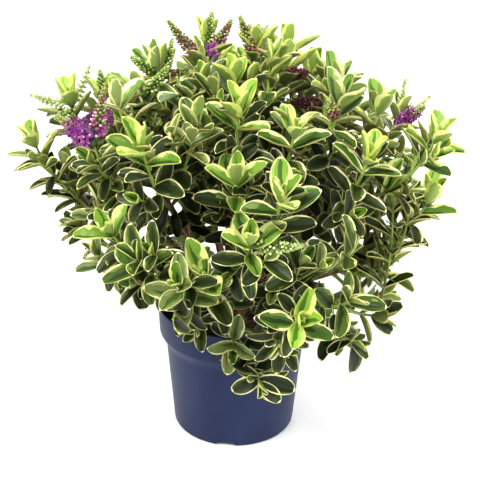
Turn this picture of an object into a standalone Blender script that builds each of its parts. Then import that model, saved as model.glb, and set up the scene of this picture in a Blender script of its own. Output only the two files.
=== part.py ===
"""A variegated hebe in its nursery pot: pot, compost, a short woody stem, boughs and leafy masses.

Metres, +Z up. The origin is the middle of the pot's underside, and the front faces -Y.
Angles are in degrees. Azimuth is turned from +X towards +Y, and elevation is above the level.
"""

import math
import random
from collections import namedtuple

import bmesh
import bpy
from mathutils import Matrix, Vector

# Pot
RIM_RADIUS = 0.070
POT_HEIGHT = 0.121
BAND_HEIGHT = 0.027
BAND_DRAFT = 0.0012
STEP_HEIGHT = 0.009
WALL_TOP_RADIUS = 0.0630
WALL_FOOT_RADIUS = 0.0558
FOOT_ROUND = 0.003
WALL = 0.0016
FLOOR_RISE = 0.0055
FLOOR = 0.0018
FOOT_RING_INNER = 0.0445
CENTRE_PAD_RADIUS = 0.0120
POT_SIDES = 36
NOTCHES = 4
NOTCH_AZIMUTH = -97
NOTCH_FOOT_WIDTH = 0.021
NOTCH_TOP_WIDTH = 0.012
NOTCH_HEIGHT = 0.005

# Compost
SOIL_TOP = 0.104
SOIL_MOUND = 0.0015
SOIL_EDGE_FALL = 0.0025
SOIL_FLAT_RADIUS = 0.020
SOIL_SIDES = 18

# Stem and boughs
GAP = 0.0004
STEM_FOOT_RADIUS = 0.0130
STEM_RADIUS = 0.0108
STEM_TOP_RADIUS = 0.0092
STEM_TOP = 0.132
STEM_SIDES = 12
BOUGH_FOOT_RADIUS = 0.0024
BOUGH_TIP_RADIUS = 0.0019
BOUGH_SIDES = 5
BOUGH_STEPS = 3
BOUGH_SHARE = 0.42
BOUGH_PULL = 0.35
BOUGH_CLIMB = 0.7
BOUGH_LEAST_CLIMB = 0.25
TOP_FOOT_RADIUS = 0.0053
FORK = Vector((0.0, 0.0, 0.118))

# Crown: rings of masses from the pot's rim to the top. The skirt's masses fork beyond the rim, to hang over it.
Ring = namedtuple("Ring", "name count azimuth elevation reach tier fork lift shoots spread")
RINGS = (
    Ring("skirt", 7, -84, 11, 0.120, 0.110, 0.62, -0.05, 3, 10),
    Ring("low", 7, -110, 32, 0.182, 0.118, 0.46, 0.80, 4, 10),
    Ring("upper", 7, -136, 54, 0.214, 0.126, 0.46, 0.80, 4, 10),
    Ring("top", 4, -95, 76, 0.220, 0.132, 0.46, 0.45, 4, 10),
)
# The skirt hangs lowest on one side, and reaches furthest on another
SKIRT_DROP = 0.002
SKIRT_DROP_SWING = 0.024
SKIRT_LOW_AZIMUTH = -35
SKIRT_REACH_SWING = 0.25
SKIRT_FAR_AZIMUTH = 20
# Shoots that depart from the dome: the mass and the shoot's number, then its stretch and its rise
ODD_SHOOTS = {
    ("low_7", 1): (1.25, 0.016),
    ("low_7", 3): (0.92, 0.0),
    ("low_3", 1): (1.20, 0.0),
    ("low_3", 2): (0.93, 0.0),
    ("upper_3", 3): (1.12, 0.0),
    ("top_4", 0): (0.95, 0.0),
}
# Shoots that stand elsewhere than the ring's pattern puts them: how far across and up, in millimetres
MOVED_SHOOTS = {
    ("skirt_1", 0): (30, -4), ("skirt_1", 1): (7, 22), ("skirt_1", 2): (0, -5),
    ("skirt_2", 0): (-26, -10), ("skirt_2", 1): (-20, 14), ("skirt_2", 2): (-11, 22),
    ("skirt_6", 1): (6, 14), ("skirt_6", 2): (5, 8),
    ("skirt_7", 0): (7, 5), ("skirt_7", 1): (31, 7), ("skirt_7", 2): (28, 6),
    ("low_1", 0): (3, -19), ("low_1", 1): (-25, 14), ("low_1", 2): (2, 32), ("low_1", 3): (-10, 20),
    ("low_2", 2): (-19, -2), ("low_2", 3): (-5, 6),
    ("low_3", 0): (-6, -8), ("low_3", 1): (-4, -3), ("low_3", 2): (-12, 3), ("low_3", 3): (-15, 2),
    ("low_4", 1): (0, -3),
    ("low_6", 3): (4, 12),
    ("low_7", 0): (20, 13), ("low_7", 1): (8, 12), ("low_7", 2): (25, 23), ("low_7", 3): (26, 8),
    ("upper_1", 2): (9, 12), ("upper_1", 3): (14, 23),
    ("upper_2", 0): (9, 21), ("upper_2", 1): (18, -19), ("upper_2", 2): (27, -12), ("upper_2", 3): (-9, 12),
    ("upper_3", 0): (15, 12), ("upper_3", 1): (1, 15), ("upper_3", 2): (-19, 20), ("upper_3", 3): (-7, 9),
    ("upper_4", 2): (13, -21), ("upper_4", 3): (18, 5),
    ("upper_5", 0): (0, -4), ("upper_5", 1): (11, -7),
    ("upper_6", 2): (0, 3),
    ("upper_7", 0): (5, -14), ("upper_7", 1): (15, -17), ("upper_7", 2): (15, 18), ("upper_7", 3): (9, 26),
    ("top_1", 0): (-18, 15), ("top_1", 3): (-18, 6),
    ("top_2", 0): (15, -18), ("top_2", 1): (8, 0), ("top_2", 2): (0, 4),
    ("top_3", 0): (-1, 5), ("top_3", 1): (-20, 20), ("top_3", 2): (-2, 8),
    ("top_4", 0): (-13, 2), ("top_4", 1): (-5, 0), ("top_4", 2): (11, -5), ("top_4", 3): (4, -3),
}
AZIMUTH_JITTER = 4
ELEVATION_JITTER = 3
REACH_JITTER = 0.05
SPREAD_JITTER = 1.5
PLACE_JITTER = 12
CELL_MARGIN = 0.0005
LIMB_MARGIN = 0.0006
POT_MARGIN = 0.002

# Shoots
TWIG_FOOT_RADIUS = 0.0019
TWIG_TIP_RADIUS = 0.0010
TWIG_SIDES = 3
TWIG_STEPS = 4
TWIG_SPLAY = 0.6
TWIG_PULL = 0.17
TWIG_TIP_PULL = 0.26
# A shoot turns up by its ring's lift, less where it lies level, and less on the front and the back of the crown
TWIG_LEAST_LIFT = 0.4
TWIG_LEAN = 0.7
FORK_SPAN = 0.11
STEM_PAST_FORK = 0.02

# Leaves: pairs as (way back from the tip, angle from the shoot, length)
LEAF_PAIRS = ((0.005, 30, 0.038), (0.021, 56, 0.042), (0.043, 74, 0.040))
SKIRT_PAIRS = ((0.005, 34, 0.032), (0.023, 62, 0.034))
# Shoots at the top stand close, so their third pair is left out
TOP_PAIRS = LEAF_PAIRS[:2]
LEAF_WIDTH_SHARE = 0.50
LEAF_THICKNESS = 0.0010
LEAF_CUP = 0.08
LEAF_CURL = 0.07
TURN_JITTER = 10
LEAN_JITTER = 6
LENGTH_JITTER = 0.08
# A leaf that doesn't fit is folded nearer its shoot and made smaller, as (share of the angle, of the length)
LEAF_TRIES = ((1.0, 1.0), (0.8, 0.9), (0.6, 0.8))
# Outline as (share of the length, share of the half width)
LEAF_OUTLINE = ((0.0, 0.0), (0.42, 0.92), (0.87, 0.52), (0.87, -0.52), (0.42, -0.92))
LEAF_CENTRE = 0.58
SAMPLE_STEPS = 6

# Flower spikes: the mass and the shoot that bear one, its way back from the shoot's tip and its length in
# millimetres, and the way it points
Spike = namedtuple("Spike", "mass shoot back length azimuth elevation")
SPIKES = (
    Spike("upper_7", 3, 4, 34, 178, 14),
    Spike("upper_7", 3, 8, 40, 10, 66),
    Spike("upper_7", 3, 10, 26, -112, 5),
    Spike("upper_7", 3, 15, 34, -55, -25),
    Spike("upper_7", 2, 5, 28, 120, 78),
    Spike("upper_7", 2, 8, 36, -82, -20),
    Spike("upper_7", 2, 12, 32, -128, -12),
    Spike("top_4", 3, 6, 34, -15, 52),
    Spike("upper_7", 1, 3, 26, -70, -5),
    Spike("upper_6", 0, 8, 38, 60, 62),
    Spike("upper_6", 0, 5, 26, -10, 22),
    Spike("top_4", 1, 2, 44, 172, 48),
    Spike("top_3", 0, 6, 30, 50, 76),
    Spike("top_3", 0, 14, 38, -5, 58),
    Spike("top_3", 1, 9, 34, 180, 68),
    Spike("top_3", 1, 4, 20, 140, 72),
    Spike("top_3", 1, 15, 30, 75, 70),
    Spike("top_3", 1, 5, 26, 60, 40),
    Spike("top_2", 0, 5, 24, -45, 10),
    Spike("upper_5", 2, 4, 24, -90, 12),
    Spike("upper_3", 1, 6, 24, -105, 0),
    Spike("upper_4", 3, 3, 36, 50, 74),
    Spike("upper_4", 3, 7, 34, -35, 36),
    Spike("upper_4", 3, 5, 38, 2, 38),
    Spike("upper_4", 2, 6, 24, -150, 14),
    Spike("low_3", 0, 3, 28, 15, 52),
    Spike("low_3", 1, 8, 24, 150, 60),
    Spike("upper_2", 2, 2, 38, -12, 6),
    Spike("upper_6", 2, 8, 36, 100, 60),
    Spike("upper_6", 2, 12, 34, 165, 45),
    Spike("upper_6", 3, 9, 32, 150, 30),
    Spike("upper_5", 3, 10, 36, 60, 50),
    Spike("upper_5", 3, 6, 30, 125, 55),
    Spike("low_5", 1, 9, 32, 90, 45),
    Spike("low_4", 3, 8, 30, 20, 50),
    Spike("low_6", 1, 8, 30, 170, 50),
)
SPIKE_RADIUS = 0.0055
SPIKE_SIDES = 4
# A spike that doesn't fit is made shorter, as a share of its length
SPIKE_TRIES = (1.0, 0.8, 0.6)
# Rings of a spike as (share of the length, share of the radius)
SPIKE_PROFILE = ((0.0, 0.20), (0.24, 1.0), (0.60, 0.78))

POT_BLUE = (0.040, 0.063, 0.155)
SOIL_BROWN = (0.035, 0.024, 0.017)
BARK_BROWN = (0.150, 0.090, 0.050)
LEAF_GREEN = (0.115, 0.210, 0.045)

Mass = namedtuple("Mass", "name ring axis reach start tips cell")


def direction(azimuth, elevation):
    a = math.radians(azimuth)
    e = math.radians(elevation)
    return Vector((math.cos(a) * math.cos(e), math.sin(a) * math.cos(e), math.sin(e)))


def off_axis(axis, offset, position):
    """The direction that lies offset degrees from axis, at that position round it."""
    east = Vector((0, 0, 1)).cross(axis).normalized()
    north = axis.cross(east)
    o = math.radians(offset)
    p = math.radians(position)
    return axis * math.cos(o) + (east * math.cos(p) + north * math.sin(p)) * math.sin(o)


def bezier(points, t):
    a, b, c, d = points
    s = 1 - t
    return a * s**3 + b * (3 * s * s * t) + c * (3 * s * t * t) + d * t**3


def path(points, steps):
    return [bezier(points, i / steps) for i in range(steps + 1)]


def grow_masses():
    """Each mass of the crown, with the tips of its shoots and the direction of the space it keeps to."""
    masses = []
    for ring in RINGS:
        for i in range(ring.count):
            name = f"{ring.name}_{i + 1}"
            rng = random.Random(name)
            azimuth = ring.azimuth + 360 * i / ring.count + rng.uniform(-1, 1) * AZIMUTH_JITTER
            elevation = ring.elevation + rng.uniform(-1, 1) * ELEVATION_JITTER
            axis = direction(azimuth, elevation)
            reach = ring.reach * (1 + rng.uniform(-1, 1) * REACH_JITTER)
            drop = 0
            if ring.name == "skirt":
                reach *= 1 + SKIRT_REACH_SWING * math.cos(math.radians(azimuth - SKIRT_FAR_AZIMUTH))
                drop = SKIRT_DROP + SKIRT_DROP_SWING * math.cos(math.radians(azimuth - SKIRT_LOW_AZIMUTH))
            first = 90 if ring.shoots == 3 else 45
            tips = []
            for k in range(ring.shoots):
                position = first + 360 * k / ring.shoots + rng.uniform(-1, 1) * PLACE_JITTER
                aim = off_axis(axis, ring.spread + rng.uniform(-1, 1) * SPREAD_JITTER, position)
                length = reach * (1 + rng.uniform(-1, 1) * REACH_JITTER)
                stretch, rise = ODD_SHOOTS.get((name, k), (1, 0))
                across, up = MOVED_SHOOTS.get((name, k), (0, 0))
                move = Vector((across * 0.001, 0, up * 0.001 + rise - drop))
                tips.append(FORK + aim * (length * stretch) + move)
            middle = sum(tips, Vector()) / len(tips)
            start = FORK + axis * (reach * BOUGH_SHARE)
            masses.append(Mass(name, ring, axis, reach, start, tips, (middle - FORK).normalized()))
    return masses


def shoot_points(mass, k):
    """The four control points of one shoot's curve, from the mass's stem to its tip."""
    share = mass.ring.fork + FORK_SPAN * k / (len(mass.tips) - 1)
    foot = FORK + mass.axis * (mass.reach * share)
    tip = mass.tips[k]
    outward = (tip - FORK).normalized()
    away = (tip - foot).normalized()
    lift = mass.ring.lift
    if lift > 0:
        lift *= min(1, max(0, TWIG_LEAST_LIFT + away.z)) * (1 - TWIG_LEAN * abs(mass.axis.y))
    end = (outward * (1 - abs(lift)) + Vector((0, 0, lift))).normalized()
    pull = mass.reach * TWIG_PULL
    tip_pull = min(mass.reach, (tip - foot).length * 2) * TWIG_TIP_PULL
    leave = (away + (away - mass.axis) * TWIG_SPLAY).normalized()
    return (foot, foot + leave * pull, tip - end * tip_pull, tip)


def mesh_object(name, verts, faces):
    mesh = bpy.data.meshes.new(name)
    mesh.from_pydata([tuple(v) for v in verts], [], faces)
    bm = bmesh.new()
    bm.from_mesh(mesh)
    bmesh.ops.recalc_face_normals(bm, faces=bm.faces)
    bm.to_mesh(mesh)
    bm.free()
    return bpy.data.objects.new(name, mesh)


def link(obj, material):
    bpy.context.scene.collection.objects.link(obj)
    obj.data.materials.append(material)
    return obj


def plain_material(name, colour, roughness):
    material = bpy.data.materials.new(name)
    material.use_nodes = True
    shader = material.node_tree.nodes["Principled BSDF"]
    shader.inputs["Base Color"].default_value = (*colour, 1)
    shader.inputs["Roughness"].default_value = roughness
    shader.inputs["Metallic"].default_value = 0.0
    return material


def turned(name, profile, sides):
    """A solid turned round the Z axis from (radius, height) points that run from axis to axis."""
    verts, rows = [], []
    for radius, z in profile:
        if radius == 0:
            rows.append([len(verts)] * sides)
            verts.append((0, 0, z))
            continue
        rows.append(list(range(len(verts), len(verts) + sides)))
        for s in range(sides):
            a = 2 * math.pi * s / sides
            verts.append((radius * math.cos(a), radius * math.sin(a), z))
    faces = []
    for low, high in zip(rows, rows[1:]):
        for s in range(sides):
            n = (s + 1) % sides
            quad = (low[s], low[n], high[n], high[s])
            faces.append(tuple(dict.fromkeys(quad)))
    return mesh_object(name, verts, faces)


def tube(name, points, foot_radius, tip_radius, sides):
    """A closed limb along points, tapering evenly. Its ends are square to it."""
    rings = len(points)
    tangent = (points[1] - points[0]).normalized()
    side = tangent.cross(Vector((0, 0, 1)))
    side = (side if side.length > 1e-3 else tangent.cross(Vector((1, 0, 0)))).normalized()
    verts, faces = [], []
    for i, point in enumerate(points):
        last = points[max(0, i - 1)]
        after = points[min(rings - 1, i + 1)]
        ahead = (after - last).normalized()
        side = (side - ahead * side.dot(ahead)).normalized()
        other = ahead.cross(side)
        radius = foot_radius + (tip_radius - foot_radius) * i / (rings - 1)
        for s in range(sides):
            a = 2 * math.pi * s / sides
            verts.append(point + (side * math.cos(a) + other * math.sin(a)) * radius)
    for i in range(rings - 1):
        for s in range(sides):
            n = (s + 1) % sides
            low = i * sides
            high = low + sides
            faces.append((low + s, low + n, high + n, high + s))
    faces.append(tuple(range(sides)))
    faces.append(tuple(range((rings - 1) * sides, rings * sides)))
    return mesh_object(name, verts, faces)


def pot_inner_radius(z):
    """The inner face of the pot's wall at height z."""
    step_foot = POT_HEIGHT - BAND_HEIGHT - STEP_HEIGHT
    share = z / step_foot
    return WALL_FOOT_RADIUS + (WALL_TOP_RADIUS - WALL_FOOT_RADIUS) * share - WALL


def build_pot(material):
    """The turned shell, on a foot ring and a centre pad, with notches cut through the foot ring."""
    band_foot = POT_HEIGHT - BAND_HEIGHT
    step_foot = band_foot - STEP_HEIGHT
    floor_top = FLOOR_RISE + FLOOR
    profile = (
        (0, 0),
        (CENTRE_PAD_RADIUS, 0),
        (CENTRE_PAD_RADIUS, FLOOR_RISE),
        (FOOT_RING_INNER, FLOOR_RISE),
        (FOOT_RING_INNER, 0),
        (WALL_FOOT_RADIUS - FOOT_ROUND, 0),
        (WALL_FOOT_RADIUS - FOOT_ROUND * 0.3, FOOT_ROUND * 0.3),
        (WALL_FOOT_RADIUS, FOOT_ROUND),
        (WALL_TOP_RADIUS, step_foot),
        (RIM_RADIUS - BAND_DRAFT, band_foot),
        (RIM_RADIUS, POT_HEIGHT),
        (RIM_RADIUS - WALL, POT_HEIGHT),
        (RIM_RADIUS - BAND_DRAFT - WALL, band_foot),
        (WALL_TOP_RADIUS - WALL, step_foot),
        (pot_inner_radius(floor_top), floor_top),
        (0, floor_top),
    )
    pot = link(turned("pot", profile, POT_SIDES), material)
    for i in range(NOTCHES):
        azimuth = math.radians(NOTCH_AZIMUTH + 360 * i / NOTCHES)
        cutter = notch_cutter(f"notch_cutter_{i + 1}", azimuth)
        cut = pot.modifiers.new(f"notch {i + 1}", "BOOLEAN")
        cut.operation = "DIFFERENCE"
        cut.object = cutter
    return pot


def notch_cutter(name, azimuth):
    """A bar with sloping sides that runs outward through the foot ring."""
    below = -0.002
    spread = (NOTCH_FOOT_WIDTH - NOTCH_TOP_WIDTH) / NOTCH_HEIGHT * -below
    inner = FOOT_RING_INNER - 0.001
    outer = RIM_RADIUS
    section = (
        (-(NOTCH_FOOT_WIDTH + spread) / 2, below),
        ((NOTCH_FOOT_WIDTH + spread) / 2, below),
        (NOTCH_TOP_WIDTH / 2, NOTCH_HEIGHT),
        (-NOTCH_TOP_WIDTH / 2, NOTCH_HEIGHT),
    )
    verts = [(x, y, z) for x in (inner, outer) for y, z in section]
    faces = [(0, 1, 2, 3), (4, 5, 6, 7)]
    faces += [(s, (s + 1) % 4, (s + 1) % 4 + 4, s + 4) for s in range(4)]
    cutter = mesh_object(name, verts, faces)
    cutter.rotation_euler.z = azimuth
    cutter.hide_render = True
    cutter.display_type = "WIRE"
    bpy.context.scene.collection.objects.link(cutter)
    return cutter


def build_soil(material):
    """The compost that fills the pot, flat in the middle and falling to the wall."""
    step_foot = POT_HEIGHT - BAND_HEIGHT - STEP_HEIGHT
    band_foot = POT_HEIGHT - BAND_HEIGHT
    foot = FLOOR_RISE + FLOOR + GAP
    edge = SOIL_TOP - SOIL_EDGE_FALL
    profile = (
        (0, foot),
        (pot_inner_radius(foot) - GAP, foot),
        (pot_inner_radius(step_foot) - GAP, step_foot),
        (RIM_RADIUS - BAND_DRAFT - WALL - GAP, band_foot + GAP),
        (RIM_RADIUS - BAND_DRAFT - WALL - GAP, edge),
        (RIM_RADIUS * 0.62, SOIL_TOP - SOIL_MOUND),
        (SOIL_FLAT_RADIUS, SOIL_TOP),
        (0, SOIL_TOP),
    )
    return link(turned("soil", profile, SOIL_SIDES), material)


def build_stem(material):
    """The short woody stem, flared at its flat cut on the compost."""
    foot = SOIL_TOP + GAP
    profile = (
        (0, foot),
        (STEM_FOOT_RADIUS, foot),
        (STEM_RADIUS, foot + 0.0035),
        (STEM_TOP_RADIUS, STEM_TOP),
        (0, STEM_TOP),
    )
    return link(turned("stem", profile, STEM_SIDES), material)


def stem_radius(z):
    """The stem's radius at height z, above its flare."""
    low = SOIL_TOP + GAP
    share = min(1, max(0, (z - low) / (STEM_TOP - low)))
    return STEM_RADIUS + (STEM_TOP_RADIUS - STEM_RADIUS) * share


def bough_path(mass):
    """The bough's line, from the stem's face to just short of the mass's own stem."""
    level = Vector((mass.axis.x, mass.axis.y, 0)).normalized()
    tier = mass.ring.tier
    if tier >= STEM_TOP:
        foot = level * TOP_FOOT_RADIUS + Vector((0, 0, STEM_TOP + GAP))
        leave = Vector((0, 0, 1))
    else:
        climb = max(BOUGH_LEAST_CLIMB, mass.axis.z * BOUGH_CLIMB)
        leave = (level + Vector((0, 0, climb))).normalized()
        out = stem_radius(tier) + GAP + BOUGH_FOOT_RADIUS * leave.z
        foot = level * out + Vector((0, 0, tier))
    end = mass.start - mass.axis * GAP
    pull = (end - foot).length * BOUGH_PULL
    return path((foot, foot + leave * pull, end - mass.axis * pull, end), BOUGH_STEPS)


def build_bough(mass, material):
    points = bough_path(mass)
    limb = tube(f"bough_{mass.name}", points, BOUGH_FOOT_RADIUS, BOUGH_TIP_RADIUS, BOUGH_SIDES)
    return link(limb, material)


def leaf_points(foot, along, normal, length, width):
    """The corners of one leaf: its outline, then the middle of its back."""
    side = along.cross(normal)
    corners = []
    for t, w in LEAF_OUTLINE:
        rise = LEAF_CUP * abs(w) * width - LEAF_CURL * t * t * length
        corners.append(foot + along * (t * length) + side * (w * width / 2) + normal * rise)
    share = (LEAF_CENTRE - LEAF_OUTLINE[1][0]) / (LEAF_OUTLINE[2][0] - LEAF_OUTLINE[1][0])
    rise = (corners[1].lerp(corners[2], share) - foot).dot(normal)
    corners.append(foot + along * (LEAF_CENTRE * length) + normal * (rise - LEAF_THICKNESS))
    return corners


def leaf_faces():
    """Eight faces: three across the front, and five on the back that rise to its middle."""
    count = len(LEAF_OUTLINE)
    front = [(0, 1, 4), (1, 2, 4), (2, 3, 4)]
    back = [((i + 1) % count, i, count) for i in range(count)]
    return front + back


def samples(corners):
    """Points over a leaf, near enough together to find any limb that it would cross."""
    count = len(LEAF_OUTLINE)
    found = []
    for i in range(count):
        a, b, c = corners[i], corners[(i + 1) % count], corners[count]
        for u in range(SAMPLE_STEPS + 1):
            for v in range(SAMPLE_STEPS + 1 - u):
                found.append(a + (b - a) * (u / SAMPLE_STEPS) + (c - a) * (v / SAMPLE_STEPS))
    return found


class Space:
    """The space that one mass keeps to, and the limbs and the pot that it keeps clear of."""

    def __init__(self, mass, masses, limbs):
        self.planes = []
        for other in masses:
            if other is not mass:
                self.planes.append((mass.cell - other.cell).normalized())
        self.limbs = []
        for name, points in limbs.items():
            if name != mass.name:
                for a, b in zip(points, points[1:]):
                    self.limbs.append((a, b))
        own = limbs[mass.name]
        self.own = list(zip(own, own[1:]))

    def holds(self, points, room=0):
        for p in points:
            if any((p - FORK).dot(n) < CELL_MARGIN + room for n in self.planes):
                return False
            if math.hypot(p.x, p.y) < RIM_RADIUS + POT_MARGIN and p.z < POT_HEIGHT + POT_MARGIN:
                return False
        return True

    def clear(self, points):
        room = BOUGH_FOOT_RADIUS + LIMB_MARGIN + LEAF_THICKNESS
        for a, b in self.limbs + self.own:
            run = b - a
            size = run.length_squared
            for p in points:
                t = min(1, max(0, (p - a).dot(run) / size))
                if (p - a - run * t).length < room:
                    return False
        return True


def place_leaf(space, foot, axis, turn, angle, length):
    """The corners of a leaf that fits the space, at the first fold that does, or None."""
    for fold, size in LEAF_TRIES:
        a = math.radians(angle * fold)
        along = axis * math.cos(a) + turn * math.sin(a)
        normal = axis * math.sin(a) - turn * math.cos(a)
        full = length * size
        corners = leaf_points(foot, along, normal, full, full * LEAF_WIDTH_SHARE)
        if space.holds(corners) and space.clear(samples(corners)):
            return corners
    return None


def point_back(line, back):
    """The place and direction of a line of points at a way back from its tip."""
    left = back
    for i in range(len(line) - 1, 0, -1):
        run = line[i] - line[i - 1]
        if run.length >= left:
            return line[i] - run.normalized() * left, run.normalized()
        left -= run.length
    return line[0], (line[1] - line[0]).normalized()


def spike_points(foot, along, length):
    """The corners of a flower spike, a slim spindle with its foot sunk in the shoot."""
    side = along.cross(Vector((0.3, 0.2, 1))).normalized()
    other = along.cross(side)
    corners = []
    for t, r in SPIKE_PROFILE:
        for s in range(SPIKE_SIDES):
            a = 2 * math.pi * s / SPIKE_SIDES
            ring = (side * math.cos(a) + other * math.sin(a)) * (r * SPIKE_RADIUS)
            corners.append(foot + along * (t * length) + ring)
    corners.append(foot + along * length)
    return corners


def spike_faces():
    last = (len(SPIKE_PROFILE) - 1) * SPIKE_SIDES
    faces = [tuple(range(SPIKE_SIDES))]
    for s in range(SPIKE_SIDES):
        n = (s + 1) % SPIKE_SIDES
        for low in range(0, last, SPIKE_SIDES):
            faces.append((low + s, low + n, low + n + SPIKE_SIDES, low + s + SPIKE_SIDES))
        faces.append((last + s, last + n, last + SPIKE_SIDES))
    return faces


def place_spike(space, foot, spike):
    """The flower spike at the first length that fits the space, in a list, or an empty list."""
    along = direction(spike.azimuth, spike.elevation)
    for size in SPIKE_TRIES:
        corners = spike_points(foot, along, spike.length * 0.001 * size)
        if space.holds(corners):
            return [mesh_object("spike", corners, spike_faces())]
    return []


def grow_pieces(mass, space):
    """The solids of one mass, its own stem first: twigs, leaves and flower spikes."""
    run = mass.reach * (mass.ring.fork + FORK_SPAN + STEM_PAST_FORK - BOUGH_SHARE)
    stem = [mass.start + mass.axis * (run * i / 2) for i in range(3)]
    pieces = [tube("stem", stem, BOUGH_TIP_RADIUS, TWIG_FOOT_RADIUS, TWIG_SIDES + 1)]
    pairs = {"skirt": SKIRT_PAIRS, "top": TOP_PAIRS}.get(mass.ring.name, LEAF_PAIRS)
    for k in range(len(mass.tips)):
        rng = random.Random(f"{mass.name} shoot {k}")
        line = path(shoot_points(mass, k), TWIG_STEPS)
        if not space.holds(line, TWIG_TIP_RADIUS):
            continue
        pieces.append(tube("twig", line, TWIG_FOOT_RADIUS, TWIG_TIP_RADIUS, TWIG_SIDES))
        spin = rng.uniform(0, 90)
        for i, (back, angle, length) in enumerate(pairs):
            foot, axis = point_back(line, back)
            for half in (0, 180):
                turn = off_axis(axis, 90, spin + 90 * i + half + rng.uniform(-1, 1) * TURN_JITTER)
                lean = angle + rng.uniform(-1, 1) * LEAN_JITTER
                full = length * (1 + rng.uniform(-1, 1) * LENGTH_JITTER)
                corners = place_leaf(space, foot, axis, turn, lean, full)
                if corners:
                    pieces.append(mesh_object("leaf", corners, leaf_faces()))
        for spike in SPIKES:
            if (spike.mass, spike.shoot) == (mass.name, k):
                foot = point_back(line, spike.back * 0.001)[0]
                pieces += place_spike(space, foot, spike)
    return pieces


def keep_outer_shell(mesh):
    """Leaves only the largest closed shell, so loose scraps go and a sealed hollow is filled."""
    bm = bmesh.new()
    bm.from_mesh(mesh)
    todo = set(bm.faces)
    shells = []
    while todo:
        front = [todo.pop()]
        shell = list(front)
        while front:
            face = front.pop()
            for edge in face.edges:
                for near in edge.link_faces:
                    if near in todo:
                        todo.remove(near)
                        front.append(near)
                        shell.append(near)
        shells.append(shell)
    shells.sort(key=len)
    for shell in shells[:-1]:
        bmesh.ops.delete(bm, geom=shell, context="FACES")
    bm.to_mesh(mesh)
    bm.free()


def fuse(name, pieces, material):
    """One solid from pieces, by a Boolean union on their collection."""
    crowd = bpy.data.collections.new(f"pieces of {name}")
    bpy.context.scene.collection.children.link(crowd)
    mass = link(pieces[0], material)
    mass.name = name
    for piece in pieces[1:]:
        crowd.objects.link(piece)
    union = mass.modifiers.new("fuse", "BOOLEAN")
    union.operation = "UNION"
    union.operand_type = "COLLECTION"
    union.collection = crowd
    union.solver = "MANIFOLD"
    seen = mass.evaluated_get(bpy.context.evaluated_depsgraph_get())
    fused = bpy.data.meshes.new_from_object(seen)
    mass.modifiers.clear()
    mass.data = fused
    for piece in pieces[1:]:
        bpy.data.objects.remove(piece)
    bpy.data.collections.remove(crowd)
    keep_outer_shell(mass.data)
    return mass


def shade(obj):
    obj.data.shade_smooth()
    obj.data.set_sharp_from_angle(angle=math.radians(40))


def main():
    for obj in list(bpy.data.objects):
        bpy.data.objects.remove(obj)
    plastic = plain_material("pot plastic", POT_BLUE, 0.42)
    compost = plain_material("compost", SOIL_BROWN, 0.95)
    bark = plain_material("bark", BARK_BROWN, 0.80)
    leaf = plain_material("leaf", LEAF_GREEN, 0.45)
    shade(build_pot(plastic))
    shade(build_soil(compost))
    shade(build_stem(bark))
    masses = grow_masses()
    limbs = {mass.name: bough_path(mass) for mass in masses}
    for mass in masses:
        shade(build_bough(mass, bark))
    for mass in masses:
        space = Space(mass, masses, limbs)
        fuse(f"mass_{mass.name}", grow_pieces(mass, space), leaf)


main()
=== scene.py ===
"""The looks of a potted variegated hebe: cream-edged leaves in pairs, twigs, racemes, bark, compost and pot.

Metres, +Z up, front towards -Y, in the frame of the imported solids.
Angles are in degrees. Azimuth is turned from +X towards +Y, and elevation is above the level.
"""

import math
import random
from collections import namedtuple

import bpy
import numpy as np
from mathutils import Matrix, Vector, noise


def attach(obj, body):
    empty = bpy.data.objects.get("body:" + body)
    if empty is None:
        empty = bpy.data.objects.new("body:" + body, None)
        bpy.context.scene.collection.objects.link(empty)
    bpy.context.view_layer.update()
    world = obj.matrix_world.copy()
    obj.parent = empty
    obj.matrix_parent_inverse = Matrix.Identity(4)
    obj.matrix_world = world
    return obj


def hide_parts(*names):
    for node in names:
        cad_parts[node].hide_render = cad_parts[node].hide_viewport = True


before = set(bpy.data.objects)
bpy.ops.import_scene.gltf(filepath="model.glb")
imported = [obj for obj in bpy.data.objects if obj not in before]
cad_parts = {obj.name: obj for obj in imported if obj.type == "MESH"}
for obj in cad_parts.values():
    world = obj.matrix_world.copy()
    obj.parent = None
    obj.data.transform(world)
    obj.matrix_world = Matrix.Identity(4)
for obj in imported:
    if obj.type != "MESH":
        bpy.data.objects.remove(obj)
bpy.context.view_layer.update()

BODY = "root"
MM = 0.001
# A piece of leaves takes up no further mass once it has this many triangles
PIECE_FULL = 167200


def borne(kind, runs):
    """The rows of a table that is written as runs of rows, each run after the shoot that bears it."""
    return [kind(bearer, *row) for bearer, *rows in runs for row in rows]


# Camera, fitted to the photograph's outline of the pot
IMAGE_SIDE = 480
SENSOR = 36.0
LENS = 79.87
CAMERA_ELEVATION = 30.6
CAMERA_DISTANCE = 1.0
CAMERA_AIM_HEIGHT = 0.060
CAMERA_PITCH = -24.27
CAMERA_YAW = -0.23
CAMERA_ROLL = 0.9

# Light: each lamp's name, place, target, size and power
WORLD_LIGHT = 0.66
LAMPS = (
    ("key light", (-0.7, -1.1, 1.7), (0, 0, 0.2), 1.0, 51),
    ("fill light", (1.2, -0.8, 1.2), (0, 0, 0.2), 1.2, 24),
    ("back light", (0.4, 2.0, 1.7), (0.2, 1.3, 0), 1.6, 44),
)
FLOOR_HALF = 8.0
FLOOR_GREY = 0.90
FLOOR_ROUGHNESS = 0.9

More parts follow.
